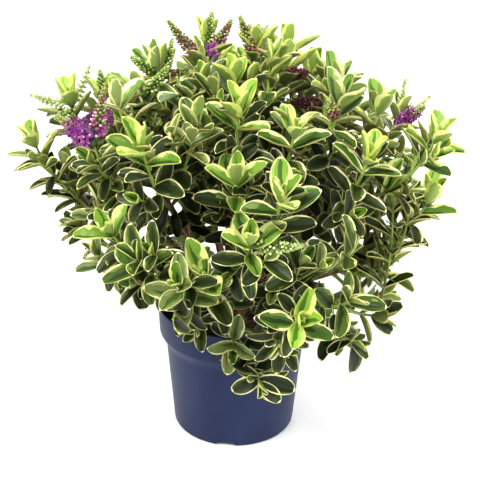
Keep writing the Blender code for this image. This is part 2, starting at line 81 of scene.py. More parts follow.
# Pot
RIM_RADIUS = 0.070
POT_HEIGHT = 0.121
BAND_HEIGHT = 0.027
BAND_DRAFT = 0.0012
STEP_HEIGHT = 0.009
WALL_TOP_RADIUS = 0.0630
WALL_FOOT_RADIUS = 0.0558
FOOT_ROUND = 0.003
WALL = 0.0016
FLOOR_RISE = 0.0055
FLOOR = 0.0018
BAND_FOOT = POT_HEIGHT - BAND_HEIGHT
STEP_FOOT = BAND_FOOT - STEP_HEIGHT
FLOOR_TOP = FLOOR_RISE + FLOOR
FOOT_RING_INNER = 0.0445
CENTRE_PAD_RADIUS = 0.0120
POT_SIDES = 160
# A rounding takes up at most this share of the lines that meet in its corner
ROUND_LIMIT = 0.48
POT_SPECULAR = 0.15
# Colours in sRGB, each after its place in the pattern
POT_COLOURS = ((0.30, (24, 33, 64)), (0.50, (27, 37, 70)), (0.72, (31, 42, 75)))
POT_SMOOTH_ANGLE = 35
NOTCHES = 4
NOTCH_AZIMUTH = -97
NOTCH_FOOT_WIDTH = 0.021
NOTCH_TOP_WIDTH = 0.012
NOTCH_HEIGHT = 0.005

# Compost
SOIL_TOP = 0.104
SOIL_EDGE_FALL = 0.0025
SOIL_SIDES = 72
SOIL_RINGS = 26
SOIL_BUMPS = ((0.0016, 260), (0.0008, 700))
CRUMBS = 900
CRUMB_SIZES = (0.0006, 0.0022)
CRUMB_REACH = 0.97
# A crumb's corners, as shares of its size: how far to the side and how far out. It lies this much raised.
CRUMB_JITTER = 0.35
CRUMB_CORNERS = (0.7, 1.1)
CRUMB_LIFT = 0.3
# Crumbs are chips of bark from this chance up, and perlite from the higher one
CHIP_FROM = 0.75
PERLITE_FROM = 0.96
# Colours in sRGB, the compost's each after its place in the pattern
COMPOST_COLOURS = ((0.30, (30, 22, 16)), (0.55, (58, 44, 33)), (0.80, (88, 68, 50)))
CHIP_COLOUR = (96, 72, 52)
PERLITE_COLOUR = (214, 210, 200)
CRUMB_ROUGHNESS = 0.9

# Stem and boughs
GAP = 0.0004
STEM_DEPTH = 0.002
STEM_RINGS = 26
STEM_SIDES = 30
STEM_FLARE = 0.006
STEM_FOOT_RADIUS = 0.0130
STEM_RADIUS = 0.0108
STEM_TOP_RADIUS = 0.0092
STEM_TOP = 0.132
# The bark's ridges, grain and leaf scars, as shares of the radius, and the scars' spacing in millimetres
BARK_RIDGES = 0.14
BARK_GRAIN = 0.05
BARK_SCARS = 0.10
SCAR_SPACING = 9
SCAR_WIDTH = 0.5
# How fast the ridges change round a limb, along it and from one place to the next, and how fine the grain is
RIDGES_ROUND = 3.2
RIDGES_ALONG = 30
RIDGES_APART = 40
GRAIN_SCALE = 1400
# Colours in sRGB, each after its place in the pattern
BARK_COLOURS = ((0.25, (64, 46, 32)), (0.5, (112, 84, 58)), (0.75, (150, 122, 90)))
# The stem's domed top: share of its radius, and the way above its edge
STEM_DOME = ((0.86, 0.0012), (0.55, 0.0020))
BOUGH_DEPTH = 0.003
BOUGH_STEPS = 30
BOUGH_SIDES = 10
RUN_STEPS = 16
BOUGH_FOOT_RADIUS = 0.0024
BOUGH_TIP_RADIUS = 0.0019
BOUGH_SHARE = 0.42
BOUGH_PULL = 0.35
BOUGH_CLIMB = 0.7
BOUGH_LEAST_CLIMB = 0.25
TOP_FOOT_RADIUS = 0.0053
FORK = Vector((0.0, 0.0, 0.118))

# Crown: rings of masses from the pot's rim to the top
Ring = namedtuple("Ring", "name count azimuth elevation reach tier fork lift shoots first spread")
RINGS = (
    Ring("skirt", 7, -84, 11, 0.120, 0.110, 0.62, -0.05, 3, 90, 10),
    Ring("low", 7, -110, 32, 0.182, 0.118, 0.46, 0.80, 4, 45, 10),
    Ring("upper", 7, -136, 54, 0.214, 0.126, 0.46, 0.80, 4, 45, 10),
    Ring("top", 4, -95, 76, 0.220, 0.132, 0.46, 0.45, 4, 45, 10),
)
SKIRT_DROP = 0.002
SKIRT_DROP_SWING = 0.024
SKIRT_LOW_AZIMUTH = -35
SKIRT_REACH_SWING = 0.25
SKIRT_FAR_AZIMUTH = 20
# Shoots that are longer or shorter than the rest of their mass
STRETCHED_SHOOTS = {
    "low_7": {1: 1.25, 3: 0.92},
    "low_3": {1: 1.20, 2: 0.93},
    "upper_3": {3: 1.12},
    "top_4": {0: 0.95},
}
# Shoots that stand elsewhere than the ring's pattern puts them: how far across and up, in millimetres
MOVED_SHOOTS = {
    "skirt_1": {0: (30, -4), 1: (7, 22), 2: (0, -5)},
    "skirt_2": {0: (-26, -10), 1: (-20, 14), 2: (-11, 22)},
    "skirt_6": {1: (6, 14), 2: (5, 8)},
    "skirt_7": {0: (7, 5), 1: (31, 7), 2: (28, 6)},
    "low_1": {0: (3, -19), 1: (-25, 14), 2: (2, 32), 3: (-10, 20)},
    "low_2": {2: (-19, -2), 3: (-5, 6)},
    "low_3": {0: (-6, -8), 1: (-4, -3), 2: (-12, 3), 3: (-15, 2)},
    "low_4": {1: (0, -3)},
    "low_6": {3: (4, 12)},
    "low_7": {0: (20, 13), 1: (8, 28), 2: (25, 23), 3: (26, 8)},
    "upper_1": {2: (9, 12), 3: (14, 23)},
    "upper_2": {0: (9, 21), 1: (18, -19), 2: (27, -12), 3: (-9, 12)},
    "upper_3": {0: (15, 12), 1: (1, 15), 2: (-19, 20), 3: (-7, 9)},
    "upper_4": {2: (13, -21), 3: (18, 5)},
    "upper_5": {0: (0, -4), 1: (11, -7)},
    "upper_6": {2: (0, 3)},
    "upper_7": {0: (5, -14), 1: (15, -17), 2: (15, 18), 3: (9, 26)},
    "top_1": {0: (-18, 15), 3: (-18, 6)},
    "top_2": {0: (15, -18), 1: (8, 0), 2: (0, 4)},
    "top_3": {0: (-1, 5), 1: (-20, 20), 2: (-2, 8)},
    "top_4": {0: (-13, 2), 1: (-5, 0), 2: (11, -5), 3: (4, -3)},
}
AZIMUTH_JITTER = 4
ELEVATION_JITTER = 3
REACH_JITTER = 0.05
SPREAD_JITTER = 1.5
PLACE_JITTER = 12

# Twigs
TWIG_FOOT_RADIUS = 0.0019
TWIG_TIP_RADIUS = 0.0010
TWIG_SPLAY = 0.6
TWIG_PULL = 0.17
TWIG_TIP_PULL = 0.26
# A shoot turns up by its ring's lift, less where it lies level and less at the crown's front and back
TWIG_LEAST_LIFT = 0.4
TWIG_LEAN = 0.7
FORK_SPAN = 0.11
STEM_PAST_FORK = 0.02
TWIG_SIDES = 7
TWIG_STEP = 0.0024
TWIG_LEAST_STEPS = 6
# The pairs nearest the tip, which leave no swelling on the twig
TIP_PAIRS = 3
NODE_SWELL = 0.45
NODE_LENGTH = 0.0013
GREEN_LENGTH = 0.062
OLIVE_LENGTH = 0.088

Mass = namedtuple("Mass", "name ring axis reach start tips")
Shoot = namedtuple("Shoot", "mass name line spin foot_radius pairs")

# A leaf's form: its width as a share of its length, where it is widest, how blunt it is, its cup and fold
# across, its bend along (towards the upper face), the margin's share of the half width, how far that wanders,
# and whether its upper face has the finer grid
Form = namedtuple("Form", "share swell blunt cup fold bend margin wander fine")
FORMS = {
    "bud": Form(0.42, 0.80, 0.60, 1.20, 0.10, 0.45, 0.30, 0.10, True),
    "young": Form(0.54, 0.84, 0.66, 0.85, 0.16, 0.22, 0.34, 0.18, True),
    "mid": Form(0.50, 0.80, 0.66, 0.80, 0.16, 0.00, 0.22, 0.12, True),
    "mature": Form(0.47, 0.78, 0.66, 0.76, 0.14, -0.22, 0.150, 0.090, True),
    "low": Form(0.56, 0.70, 0.60, 0.55, 0.10, -0.20, 0.120, 0.045, False),
    "inner": Form(0.46, 0.78, 0.66, 0.70, 0.14, -0.22, 0.110, 0.050, False),
}

# Pairs of leaves: way back from the tip, angle from the shoot, length, form
Pair = namedtuple("Pair", "back angle length form")
ROSETTE = (
    Pair(0.0004, 9, 0.0140, "bud"),
    Pair(0.0020, 27, 0.0260, "young"),
    Pair(0.0060, 54, 0.0340, "young"),
    Pair(0.0160, 66, 0.0340, "mid"),
)
# The darker pairs of a side shoot, which stays within the crown, and of a quiet shoot
QUIET_ROSETTE = (
    Pair(0.0010, 20, 0.0240, "mid"),
    Pair(0.0060, 46, 0.0320, "mature"),
    Pair(0.0160, 62, 0.0340, "mature"),
)
SKIRT_SIZE = 0.84
# Shoots whose tips bear dark leaves like those below; the whole skirt is so too
QUIET_SHOOTS = {
    "low_1": (2, 3), "low_2": (0, 1, 3), "low_3": (2, 3), "low_4": (0, 1, 3), "low_5": (0, 1, 3),
    "low_6": (0, 1, 2), "low_7": (0, 2, 3), "upper_1": (0, 2), "upper_4": (1, 3), "upper_5": (3,),
    "upper_6": (3,), "upper_7": (1,), "top_1": (1, 2), "top_2": (3,),
}
VIGOUR_JITTER = 0.08
# Shoots with smaller leaves than the rest
WEAK_SHOOTS = {
    "low_7": {1: 0.80, 2: 0.85, 3: 0.80},
    "low_6": {3: 0.92},
    "upper_3": {3: 0.82},
    "skirt_2": {1: 0.85},
    "top_3": {0: 0.86, 1: 0.88},
}
LOWER_SPACING = 0.0122
LOWER_ANGLE = 70
LOWER_LENGTH = 0.0330
# The pairs grow shorter towards the shoot's foot, by this share over this way
LOWER_SHORTEN = 0.10
SHORTEN_RUN = 0.04
LOWER_SHARE = 0.97
# Pairs further than this from the tip take the inner tints, whose dimmed margins and undersides are painted
# shade
INNER_BACK = 0.056
TURN_JITTER = 10
LEAN_JITTER = 7
LENGTH_JITTER = 0.10
# How far single leaves differ from their form
WIDTH_JITTER = 0.07
CUP_JITTER = 0.2
BEND_JITTER = 0.15
LEAST_BEND = 0.02
TWIST = 0.22
SWAY = 0.05
RIPPLE = 0.10
RIPPLE_WAVES = (5, 9)
# In radians
FULL_TURN = 6.28
MARGIN_JITTER = 0.40
# A leaf that meets another is tried again, as (share of the angle, turn, share of the length)
LEAF_TRIES = (
    (1.0, 0, 1.0),
    (0.86, 9, 1.0),
    (1.12, -9, 0.97),
    (0.72, -14, 0.92),
    (1.0, 20, 0.85),
    (0.55, 0, 0.82),
)
LEAF_ROOM = 0.0026
SIDE_LATER = 4
LEAF_THICKNESS = 0.0007
# A leaf reaches this far into its twig, and its outline starts this share of its length before its foot
LEAF_INSET = 0.0006
LEAF_FOOT = 0.02
POT_MARGIN = 0.0025

# Sky gaps of the crown, as places in the photograph in pixels: middle, half width and half height
SKY_GAPS = (
    (152, 187, 5, 5), (174, 210, 5, 6), (103, 242, 2, 1), (158, 277, 1, 2),
    (334, 278, 5, 5), (317, 276, 2, 2), (357, 315, 5, 2), (388, 237, 1, 1),
    (397, 215, 1, 1), (413, 262, 4, 8), (163, 326, 6, 8), (170, 336, 4, 6),
)
GAP_NEAR = 0.74
GAP_FAR = 1.09
GAP_STEP = 0.004
# Shoots whose tips are seen whole from the front, and the space kept before them
SHOWN_SHOOTS = (
    "low_1 0", "low_1 1", "low_2 2", "low_3 1", "upper_1 3", "upper_2 0", "upper_2 1",
    "upper_2 2", "upper_2 3", "upper_3 0", "upper_3 2", "top_1 3",
)
SHOWN_RISE = 0.012
SHOWN_RADIUS = 0.008
SHOWN_REACH = 0.16
# Turn of a shoot's pairs about it, where the photograph shows it well
SPINS = {"low_1": {0: 130}}

# Side shoots leave the shoot at these ways back from its tip, up to a last share of its length
SIDE_BACKS = (0.036, 0.060)
SIDE_BACK_JITTER = 0.15
SIDE_LAST = 0.8
SIDE_ANGLE = 40
SIDE_TURN_JITTER = 25
SIDE_LENGTH = 0.030
SIDE_LENGTH_JITTER = 0.25
SKIRT_SIDE = 0.6
SIDE_PULL = 0.35
SIDE_CURVE = 0.5
SIDE_RADIUS = TWIG_TIP_RADIUS * 1.3
SHORT_STEPS = 30
# The size of a side shoot's leaves, how much nearer to its tip they stand, the share of its length that bears
# them, and how much smaller its lowest pair is
SIDE_SIZE = 0.78
SIDE_SIZE_JITTER = 0.12
SIDE_CLOSER = 0.001
SIDE_SHARE = 0.9
SIDE_LOWER = 0.9

# Straight offshoots with a rosette and, on a long one, a ladder of leaves: the shoot that bears one, the way
# back from its tip in millimetres, the way it points, its length in millimetres, its leaves' size, the turn
# of its pairs, whether its tip is bright and whether its view is kept open
Offshoot = namedtuple("Offshoot", "bearer back azimuth elevation length size spin bright shown")
OFFSHOOTS = [Offshoot(*row) for row in (
    ("skirt_2 2", 2, -20, 86, 104, 1.00, 20, False, True),
    ("low_3 2", 2, -25, 76, 44, 0.72, 0, False, False),
    ("low_7 2", 12, 172, 74, 60, 0.92, 0, False, False),
    ("upper_3 3", 26, -50, 40, 17, 0.74, 40, True, True),
)]
LADDER_SPACING = 0.0120
LADDER_ANGLE = 58
LADDER_LENGTH = 0.0310
LADDER_LAST = 0.95
LADDER_SHOWN = (-0.016, -0.006, 0.004)
# The ladder's view is kept open from this way back to this way before its foot, in millimetres
LADDER_VIEW_FROM = 15
LADDER_VIEW_END = 20
LADDER_VIEW_STEP = 10
LADDER_VIEW_RADIUS = 0.004
OFFSHOOT_BOW = 0.05
OFFSHOOT_RADIUS = TWIG_TIP_RADIUS * 1.4

# Leaves that stand by themselves: the shoot, the way back from its tip in millimetres, the way a leaf points,
# its length in millimetres, its form and how far its upper face is turned to the front
Lone = namedtuple("Lone", "bearer back azimuth elevation length form lean")
LONE_LEAVES = borne(Lone, (
    ("skirt_6 2", (9, -80, -72, 36, "low", 0)),
    ("skirt_2 1", (22, -150, -52, 29, "low", 0), (1, -60, -78, 30, "low", 0),
     (3, -170, -22, 23, "low", 0)),
    ("low_7 1", (19, 182, -6, 28, "mature", 0), (18, -30, 66, 25, "mature", 0),
     (44, 178, 14, 22, "mature", 0)),
    ("upper_7 3", (9, 184, -4, 23, "mature", 0), (29, 192, -2, 30, "mid", 0)),
    ("skirt_2 2", (2, 4, 24, 26, "low", 40), (6, -20, -30, 24, "low", 40)),
    ("skirt_1 2", (3, -8, -14, 32, "low", 48), (0, -32, -34, 24, "low", 46),
     (2, 196, -16, 24, "low", 50), (6, 172, 22, 20, "low", 50), (14, 208, 34, 30, "low", 55),
     (13, -30, 42, 24, "low", 50)),
    ("upper_3 3", (68, -11, 60, 36, "young", 50), (68, -25, 24, 31, "young", 25),
     (68, 173, 66, 27, "young", 30), (68, -50, 60, 22, "bud", 20)),
))

# Leaf colours in sRGB by form and tint: margin, centre, streak, splash, underside, underside's margin
TINTS = {
    "bud": (
        ((216, 228, 124), (160, 192, 84), (124, 160, 62), (188, 212, 124), (152, 182, 88), (204, 218, 120)),
    ),
    "young": (
        ((226, 232, 122), (132, 168, 56), (68, 102, 30), (164, 188, 92), (136, 160, 74), (206, 214, 110)),
        ((234, 236, 150), (114, 150, 52), (58, 90, 27), (154, 178, 90), (132, 154, 76), (212, 216, 128)),
        ((240, 238, 180), (102, 136, 52), (52, 80, 26), (152, 172, 98), (130, 148, 80), (220, 220, 144)),
    ),
    "mid": (
        ((236, 238, 140), (88, 124, 38), (46, 70, 20), (124, 152, 70), (120, 142, 64), (210, 212, 116)),
        ((240, 238, 170), (64, 96, 30), (35, 54, 17), (108, 132, 64), (116, 136, 66), (210, 206, 124)),
        ((226, 226, 146), (110, 132, 62), (66, 86, 33), (140, 154, 84), (134, 148, 78), (206, 206, 128)),
    ),
    "mature": (
        ((240, 236, 180), (42, 57, 17), (27, 37, 11), (86, 102, 47), (118, 130, 60), (208, 202, 122)),
        ((230, 226, 158), (35, 49, 15), (24, 33, 10), (74, 90, 41), (106, 120, 54), (198, 188, 106)),
        ((242, 240, 196), (53, 69, 22), (32, 44, 13), (100, 116, 58), (128, 140, 72), (216, 210, 136)),
        ((232, 230, 156), (62, 83, 27), (36, 50, 14), (106, 126, 56), (118, 136, 60), (208, 206, 116)),
        ((224, 222, 156), (98, 114, 56), (58, 75, 30), (134, 144, 80), (140, 148, 84), (208, 204, 130)),
    ),
    "low": (
        ((242, 238, 188), (38, 55, 17), (26, 37, 11), (70, 90, 40), (106, 118, 52), (200, 194, 124)),
        ((230, 224, 164), (33, 49, 15), (22, 33, 10), (62, 80, 35), (98, 110, 50), (190, 182, 112)),
    ),
    # Leaves deep in the crown: margins and undersides dimmed as painted shade of the crown's inside
    "inner": (
        ((170, 168, 104), (35, 46, 15), (24, 33, 10), (66, 78, 36), (92, 104, 48), (154, 146, 80)),
        ((150, 150, 86), (30, 39, 13), (20, 27, 9), (54, 66, 30), (82, 94, 42), (140, 132, 68)),
        ((190, 184, 122), (41, 52, 17), (27, 37, 11), (74, 88, 42), (104, 114, 56), (168, 158, 92)),
    ),
}
# Shoots seen whole have only the first and brightest of each form's tints, painted light that lifts their
# tips out of the crown's shade
PAINTED_LIGHT_TINTS = 2
PARTS = ("margin", "centre", "streak", "splash", "underside", "underside margin")
MARGIN, CENTRE, STREAK, SPLASH, UNDERSIDE, UNDER_MARGIN = range(len(PARTS))
LEAF_ROUGHNESS = 0.42
LEAF_SPECULAR = 0.22

TWIG_ROUGHNESS = 0.55
TWIG_COLOURS = {"green twig": (132, 158, 62), "olive twig": (122, 124, 62), "brown twig": (104, 78, 54)}

# Racemes: the shoot that bears one, the way back from its tip and the raceme's length in millimetres, the way
# it points and its stage. The shown ones are seen whole from the front.
Raceme = namedtuple("Raceme", "bearer back length azimuth elevation stage")
SHOWN_RACEMES = borne(Raceme, (
    ("upper_7 3", (4, 34, 178, 14, "comb"), (8, 40, 10, 66, "comb"), (10, 26, -112, 5, "green"),
     (15, 34, -55, -25, "open")),
    ("upper_7 2", (5, 28, 120, 78, "green")),
    ("upper_1 2", (0, 44, 10, 78, "mauve"), (1, 34, 174, 40, "open")),
    ("upper_7 2", (8, 36, -82, -20, "open"), (12, 32, -128, -12, "open")),
    ("top_4 3", (6, 34, -15, 52, "green")),
    ("upper_7 1", (3, 26, -70, -5, "green")),
    ("top_4 2", (4, 25, -158, 34, "green")),
    ("top_4 3", (22, 22, -62, -2, "green")),
    ("upper_6 0", (8, 38, 60, 62, "green"), (5, 26, -10, 22, "brown")),
    ("top_4 1", (2, 44, 172, 48, "rosy")),
    ("top_3 0", (6, 30, 50, 76, "green"), (14, 38, -5, 58, "mauve")),
    ("top_3 1", (9, 34, 180, 68, "brown"), (4, 20, 140, 72, "comb"), (15, 30, 75, 70, "rosy"),
     (5, 26, 60, 40, "comb")),
    ("top_2 0", (5, 24, -45, 10, "maroon")),
    ("top_2 3", (19, 24, 188, 6, "maroon")),
    ("upper_5 2", (4, 24, -90, 12, "maroon")),
    ("upper_3 1", (14, 22, -120, 48, "brown")),
    ("upper_4 3", (3, 36, 50, 74, "comb"), (7, 34, -35, 36, "open"), (5, 38, 2, 38, "comb")),
    ("upper_4 2", (6, 24, -150, 14, "green")),
    ("upper_2 2", (2, 38, -12, 6, "green")),
))
OTHER_RACEMES = borne(Raceme, (
    ("low_3 1", (8, 24, 150, 60, "green")),
    ("low_3 0", (3, 28, 15, 52, "green")),
    ("upper_6 2", (8, 36, 100, 60, "open"), (12, 34, 165, 45, "comb")),
    ("upper_6 3", (9, 32, 150, 30, "brown")),
    ("upper_5 3", (10, 36, 60, 50, "open"), (6, 30, 125, 55, "green")),
    ("low_5 1", (9, 32, 90, 45, "rosy")),
    ("low_4 3", (8, 30, 20, 50, "green")),
    ("low_6 1", (8, 30, 170, 50, "green")),
))
RACEMES = SHOWN_RACEMES + OTHER_RACEMES

# A stage, in millimetres: the raceme's radius at its foot and its tip, how many flowers or pairs it has, a
# bud's length and radius, the share that is open from the foot up, and the colours from the foot to the tip
Stage = namedtuple("Stage", "foot_radius tip_radius count bud_length bud_radius open_share colours")
STAGES = {
    "comb": Stage(0.9, 0.5, 17, 5.6, 1.55, 0.0, ("comb bud", "pale bud", "comb bud")),
    "green": Stage(4.0, 1.4, 84, 3.8, 1.35, 0.0, ("green bud", "deep green bud", "pale bud", "green bud")),
    "brown": Stage(4.0, 1.4, 84, 3.5, 1.35, 0.0,
                   ("brown bud", "rosy bud", "green bud", "brown bud", "green bud")),
    "rosy": Stage(4.8, 1.6, 92, 3.8, 1.35, 0.0, ("mauve bud", "rosy bud", "brown bud", "green bud")),
    "maroon": Stage(4.6, 2.6, 84, 3.4, 1.35, 0.0, ("maroon bud", "dark maroon bud", "maroon bud")),
    "mauve": Stage(4.8, 1.8, 100, 3.8, 1.35, 0.34, ("mauve bud", "pale mauve bud", "rosy bud", "green bud")),
    "open": Stage(4.4, 1.6, 110, 3.5, 1.25, 0.74, ("mauve bud", "pale mauve bud", "rosy bud", "green bud")),
}
FLOWER_SIZE = 0.0078
PETAL_COLOURS = ("purple petal", "violet petal", "light petal")
# How far a raceme turns up, and where its second handle lies, as shares of its length
RACEME_RISE = 0.10
RACEME_SECOND = 0.67
RACEME_BLUNT = 1.7
RACEME_STEPS = 20
ROOM_STEPS = 8
ROOM_FROM = 3
CORE_STEPS = 10
# Where the view of a shown raceme is kept open, as shares of its length
SHOWN_SHARES = (0.25, 0.55, 0.85)
# A bud sinks into its raceme by this share of its radius, and buds are smaller by this share at the tip
BUD_SINK = 0.4
BUD_TAPER = 0.45
# The least size of a bud and the least part of the open share, and how much chance adds to each
BUD_LEAST = 0.9
BUD_SPAN = 0.2
OPEN_LEAST = 0.85
OPEN_SPAN = 0.3
BUD_TILT = 78
BUD_TIP_TILT = 50
TILT_JITTER = 8
PLACE_TURN = 9
# A flower near the open share is open by chance, and none above this chance
OPEN_CHANCE = 0.55
# Just under the number of petal colours
PETAL_SPAN = 2.99
BUD_MIXING = 0.8
# Share of a raceme's own radius that the leaves of other shoots stay out of
RACEME_ROOM = 0.9
RACEME_BARE = 0.15
# Radius of a raceme's own stalk in millimetres, and of the core that its buds close over as a share of
# theirs. The core stands for the stalks, and its dark colour is painted shade among the buds.
RACHIS = 0.6
CORE_SHARE = 0.7
# The comb shows its stalk in its own colour; the other cores are dark, painted shade among the buds
CORES = {"comb": "rachis", "brown": "dark core", "maroon": "dark core", "open": "dark core"}
GOLDEN_ANGLE = 137.5
BLOSSOM_ROUGHNESS = 0.5
BLOSSOM_COLOURS = {
    "green bud": (142, 166, 74),
    "pale bud": (196, 206, 138),
    "deep green bud": (94, 116, 38),
    "comb bud": (156, 170, 104),
    "rosy bud": (150, 84, 90),
    "brown bud": (118, 78, 56),
    "maroon bud": (106, 54, 50),
    "dark maroon bud": (66, 32, 28),
    "mauve bud": (178, 92, 132),
    "pale mauve bud": (224, 172, 190),
    "purple petal": (114, 24, 116),
    "violet petal": (80, 12, 86),
    "light petal": (148, 64, 138),
    "stamen": (168, 96, 152),
    "anther": (70, 12, 50),
    "rachis": (132, 152, 74),
    # The cores: darker than the stalk, painted shade among the buds
    "green core": (58, 80, 28),
    "dark core": (50, 30, 28),
}


def srgb(colour):
    """A linear colour from one given as 0 to 255 in sRGB."""
    linear = []
    for part in colour:
        c = part / 255
        linear.append(c / 12.92 if c <= 0.04045 else ((c + 0.055) / 1.055) ** 2.4)
    return linear


def direction(azimuth, elevation):
    a = math.radians(azimuth)
    e = math.radians(elevation)
    return Vector((math.cos(a) * math.cos(e), math.sin(a) * math.cos(e), math.sin(e)))


def rotation(angle, axis):
    return Matrix.Rotation(math.radians(angle), 4, axis)


def circle(radius, z, sides):
    """Points of a level ring about the Z axis."""
    turns = [2 * math.pi * n / sides for n in range(sides)]
    return [(radius * math.cos(a), radius * math.sin(a), z) for a in turns]


def jitter(rng, size):
    """A random swing to either side."""
    return rng.uniform(-1, 1) * size


def told(table, mass, k, otherwise):
    """What a table says of one shoot of a mass."""
    return table.get(mass, {}).get(k, otherwise)


def off_axis(axis, offset, position):
    """The direction that lies offset degrees from axis, at that position round it."""
    east = Vector((0, 0, 1)).cross(axis).normalized()
    north = axis.cross(east)
    o = math.radians(offset)
    p = math.radians(position)
    return axis * math.cos(o) + (east * math.cos(p) + north * math.sin(p)) * math.sin(o)


def bezier(points, t):
    a, b, c, d = points
    s = 1 - t
    return a * s**3 + b * (3 * s * s * t) + c * (3 * s * t * t) + d * t**3


def path(points, steps):
    return [bezier(points, i / steps) for i in range(steps + 1)]


class Line:
    """A curve that is read by the way back from its tip."""

    def __init__(self, points, steps=60):
        self.points = path(points, steps)
        self.ways = [0.0]
        for a, b in zip(reversed(self.points), list(reversed(self.points))[1:]):
            self.ways.append(self.ways[-1] + (b - a).length)
        self.length = self.ways[-1]

    def back(self, way):
        """The place and the direction at that way back from the tip."""
        last = len(self.points) - 1
        for i in range(1, last + 1):
            if self.ways[i] >= way or i == last:
                near, far = self.points[last - i + 1], self.points[last - i]
                share = min(1, (way - self.ways[i - 1]) / (self.ways[i] - self.ways[i - 1]))
                return near.lerp(far, share), (near - far).normalized()


def new_object(name, data):
    """An object of the scene that holds this mesh, light or camera."""
    thing = bpy.data.objects.new(name, data)
    bpy.context.scene.collection.objects.link(thing)
    return thing


def make_camera():
    data = bpy.data.cameras.new("camera")
    data.sensor_width = SENSOR
    data.lens = LENS
    data.clip_start = 0.01
    camera = new_object("camera", data)
    e = math.radians(CAMERA_ELEVATION)
    back = Vector((0, -math.cos(e), math.sin(e))) * CAMERA_DISTANCE
    camera.location = Vector((0, 0, CAMERA_AIM_HEIGHT)) + back
    turn = rotation(CAMERA_YAW, "Z") @ rotation(90 + CAMERA_PITCH, "X") @ rotation(CAMERA_ROLL, "Z")
    camera.rotation_euler = turn.to_euler()
    bpy.context.scene.camera = camera
    bpy.context.view_layer.update()
    return camera


def area_light(name, place, target, size, power):
    data = bpy.data.lights.new(name, "AREA")
    data.shape = "DISK"
    data.size = size
    data.energy = power
    light = new_object(name, data)
    light.location = place
    light.rotation_euler = (Vector(target) - Vector(place)).to_track_quat("-Z", "Y").to_euler()


def make_studio():
    """A pale floor, a white surround and three large soft lamps."""
    world = bpy.data.worlds.new("studio")
    world.use_nodes = True
    background = world.node_tree.nodes["Background"]
    background.inputs["Color"].default_value = (1, 1, 1, 1)
    background.inputs["Strength"].default_value = WORLD_LIGHT
    bpy.context.scene.world = world
    for lamp in LAMPS:
        area_light(*lamp)
    mesh = bpy.data.meshes.new("floor")
    corners = [(x * FLOOR_HALF, y * FLOOR_HALF, 0) for x, y in ((-1, -1), (1, -1), (1, 1), (-1, 1))]
    mesh.from_pydata(corners, [], [(0, 1, 2, 3)])
    mesh.materials.append(plain_material("pale floor", (FLOOR_GREY,) * 3, FLOOR_ROUGHNESS))
    floor = new_object("floor", mesh)
    view = bpy.context.scene.view_settings
    view.view_transform = "Standard"
    view.look = "None"


def plain_material(name, colour, roughness, specular=0.5):
    material = bpy.data.materials.new(name)
    material.use_nodes = True
    shader = material.node_tree.nodes["Principled BSDF"]
    shader.inputs["Base Color"].default_value = (*colour, 1)
    shader.inputs["Roughness"].default_value = roughness
    shader.inputs["Specular IOR Level"].default_value = specular
    return material


def add_node(material, kind, **sockets):
    """A shader node with these values in its sockets."""
    node = material.node_tree.nodes.new(kind)
    for name, value in sockets.items():
        node.inputs[name].default_value = value
    return node


def colour_ramp(material, stops):
    ramp = add_node(material, "ShaderNodeValToRGB")
    elements = ramp.color_ramp.elements
    while len(elements) < len(stops):
        elements.new(0.5)
    for element, (place, colour) in zip(elements, stops):
        element.position = place
        element.color = (*srgb(colour), 1)
    return ramp


def patterned_material(name, stops, scale, roughness, bump, detail=6.0, stretch=(1, 1, 1), specular=0.5):
    """A material whose colour follows a noise through a ramp, with a finer noise as its relief."""
    material = plain_material(name, (0.5, 0.5, 0.5), roughness, specular)
    shader = material.node_tree.nodes["Principled BSDF"]
    place = add_node(material, "ShaderNodeTexCoord")
    mapping = add_node(material, "ShaderNodeMapping", Scale=stretch)
    cloud = add_node(material, "ShaderNodeTexNoise", Scale=scale, Detail=detail)
    ramp = colour_ramp(material, stops)
    grain = add_node(material, "ShaderNodeTexNoise", Scale=scale * 4, Detail=4.0)
    relief = add_node(material, "ShaderNodeBump", Strength=bump[0], Distance=bump[1])
    for source, output, target, socket in (
        (place, "Object", mapping, "Vector"),
        (mapping, "Vector", cloud, "Vector"),
        (cloud, "Fac", ramp, "Fac"),
        (ramp, "Color", shader, "Base Color"),
        (mapping, "Vector", grain, "Vector"),
        (grain, "Fac", relief, "Height"),
        (relief, "Normal", shader, "Normal"),
    ):
        material.node_tree.links.new(source.outputs[output], target.inputs[socket])
    return material


class Heap:
    """Points and faces gathered for one mesh. A face with three corners has -1 as its fourth."""

    def __init__(self):
        self.points = []
        self.faces = []
        self.slots = []
        self.rims = []
        self.count = 0
        self.triangles = 0

    def add(self, points, faces, slots, rim=None):
        points = np.asarray(points, float).reshape(-1, 3)
        faces = np.asarray(faces, int).reshape(-1, 4)
        self.points.append(points)
        self.faces.append(np.where(faces >= 0, faces + self.count, -1))
        self.slots.append(np.broadcast_to(np.asarray(slots, int), (len(faces),)))
        self.rims.append(np.zeros(len(points), bool) if rim is None else rim)
        self.count += len(points)
        self.triangles += len(faces) + int((faces[:, 3] >= 0).sum())

    def build(self, name, materials):
        """The mesh object. Edges between two rim points are sharp."""
        points = np.concatenate(self.points).tolist()
        faces = np.concatenate(self.faces).tolist()
        mesh = bpy.data.meshes.new(name)
        mesh.from_pydata(points, [], [face[:3] if face[3] < 0 else face for face in faces])
        mesh.polygons.foreach_set("material_index", np.concatenate(self.slots).astype(np.int32))
        mesh.shade_smooth()
        rim = np.concatenate(self.rims)
        if rim.any():
            ends = np.zeros(len(mesh.edges) * 2, np.int32)
            mesh.edges.foreach_get("vertices", ends)
            ends = ends.reshape(-1, 2)
            sharp = mesh.attributes.new("sharp_edge", "BOOLEAN", "EDGE")
            sharp.data.foreach_set("value", rim[ends[:, 0]] & rim[ends[:, 1]])
        for material in materials:
            mesh.materials.append(material)
        return new_object(name, mesh)


def dress(piece):
    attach(piece, BODY)
    return piece


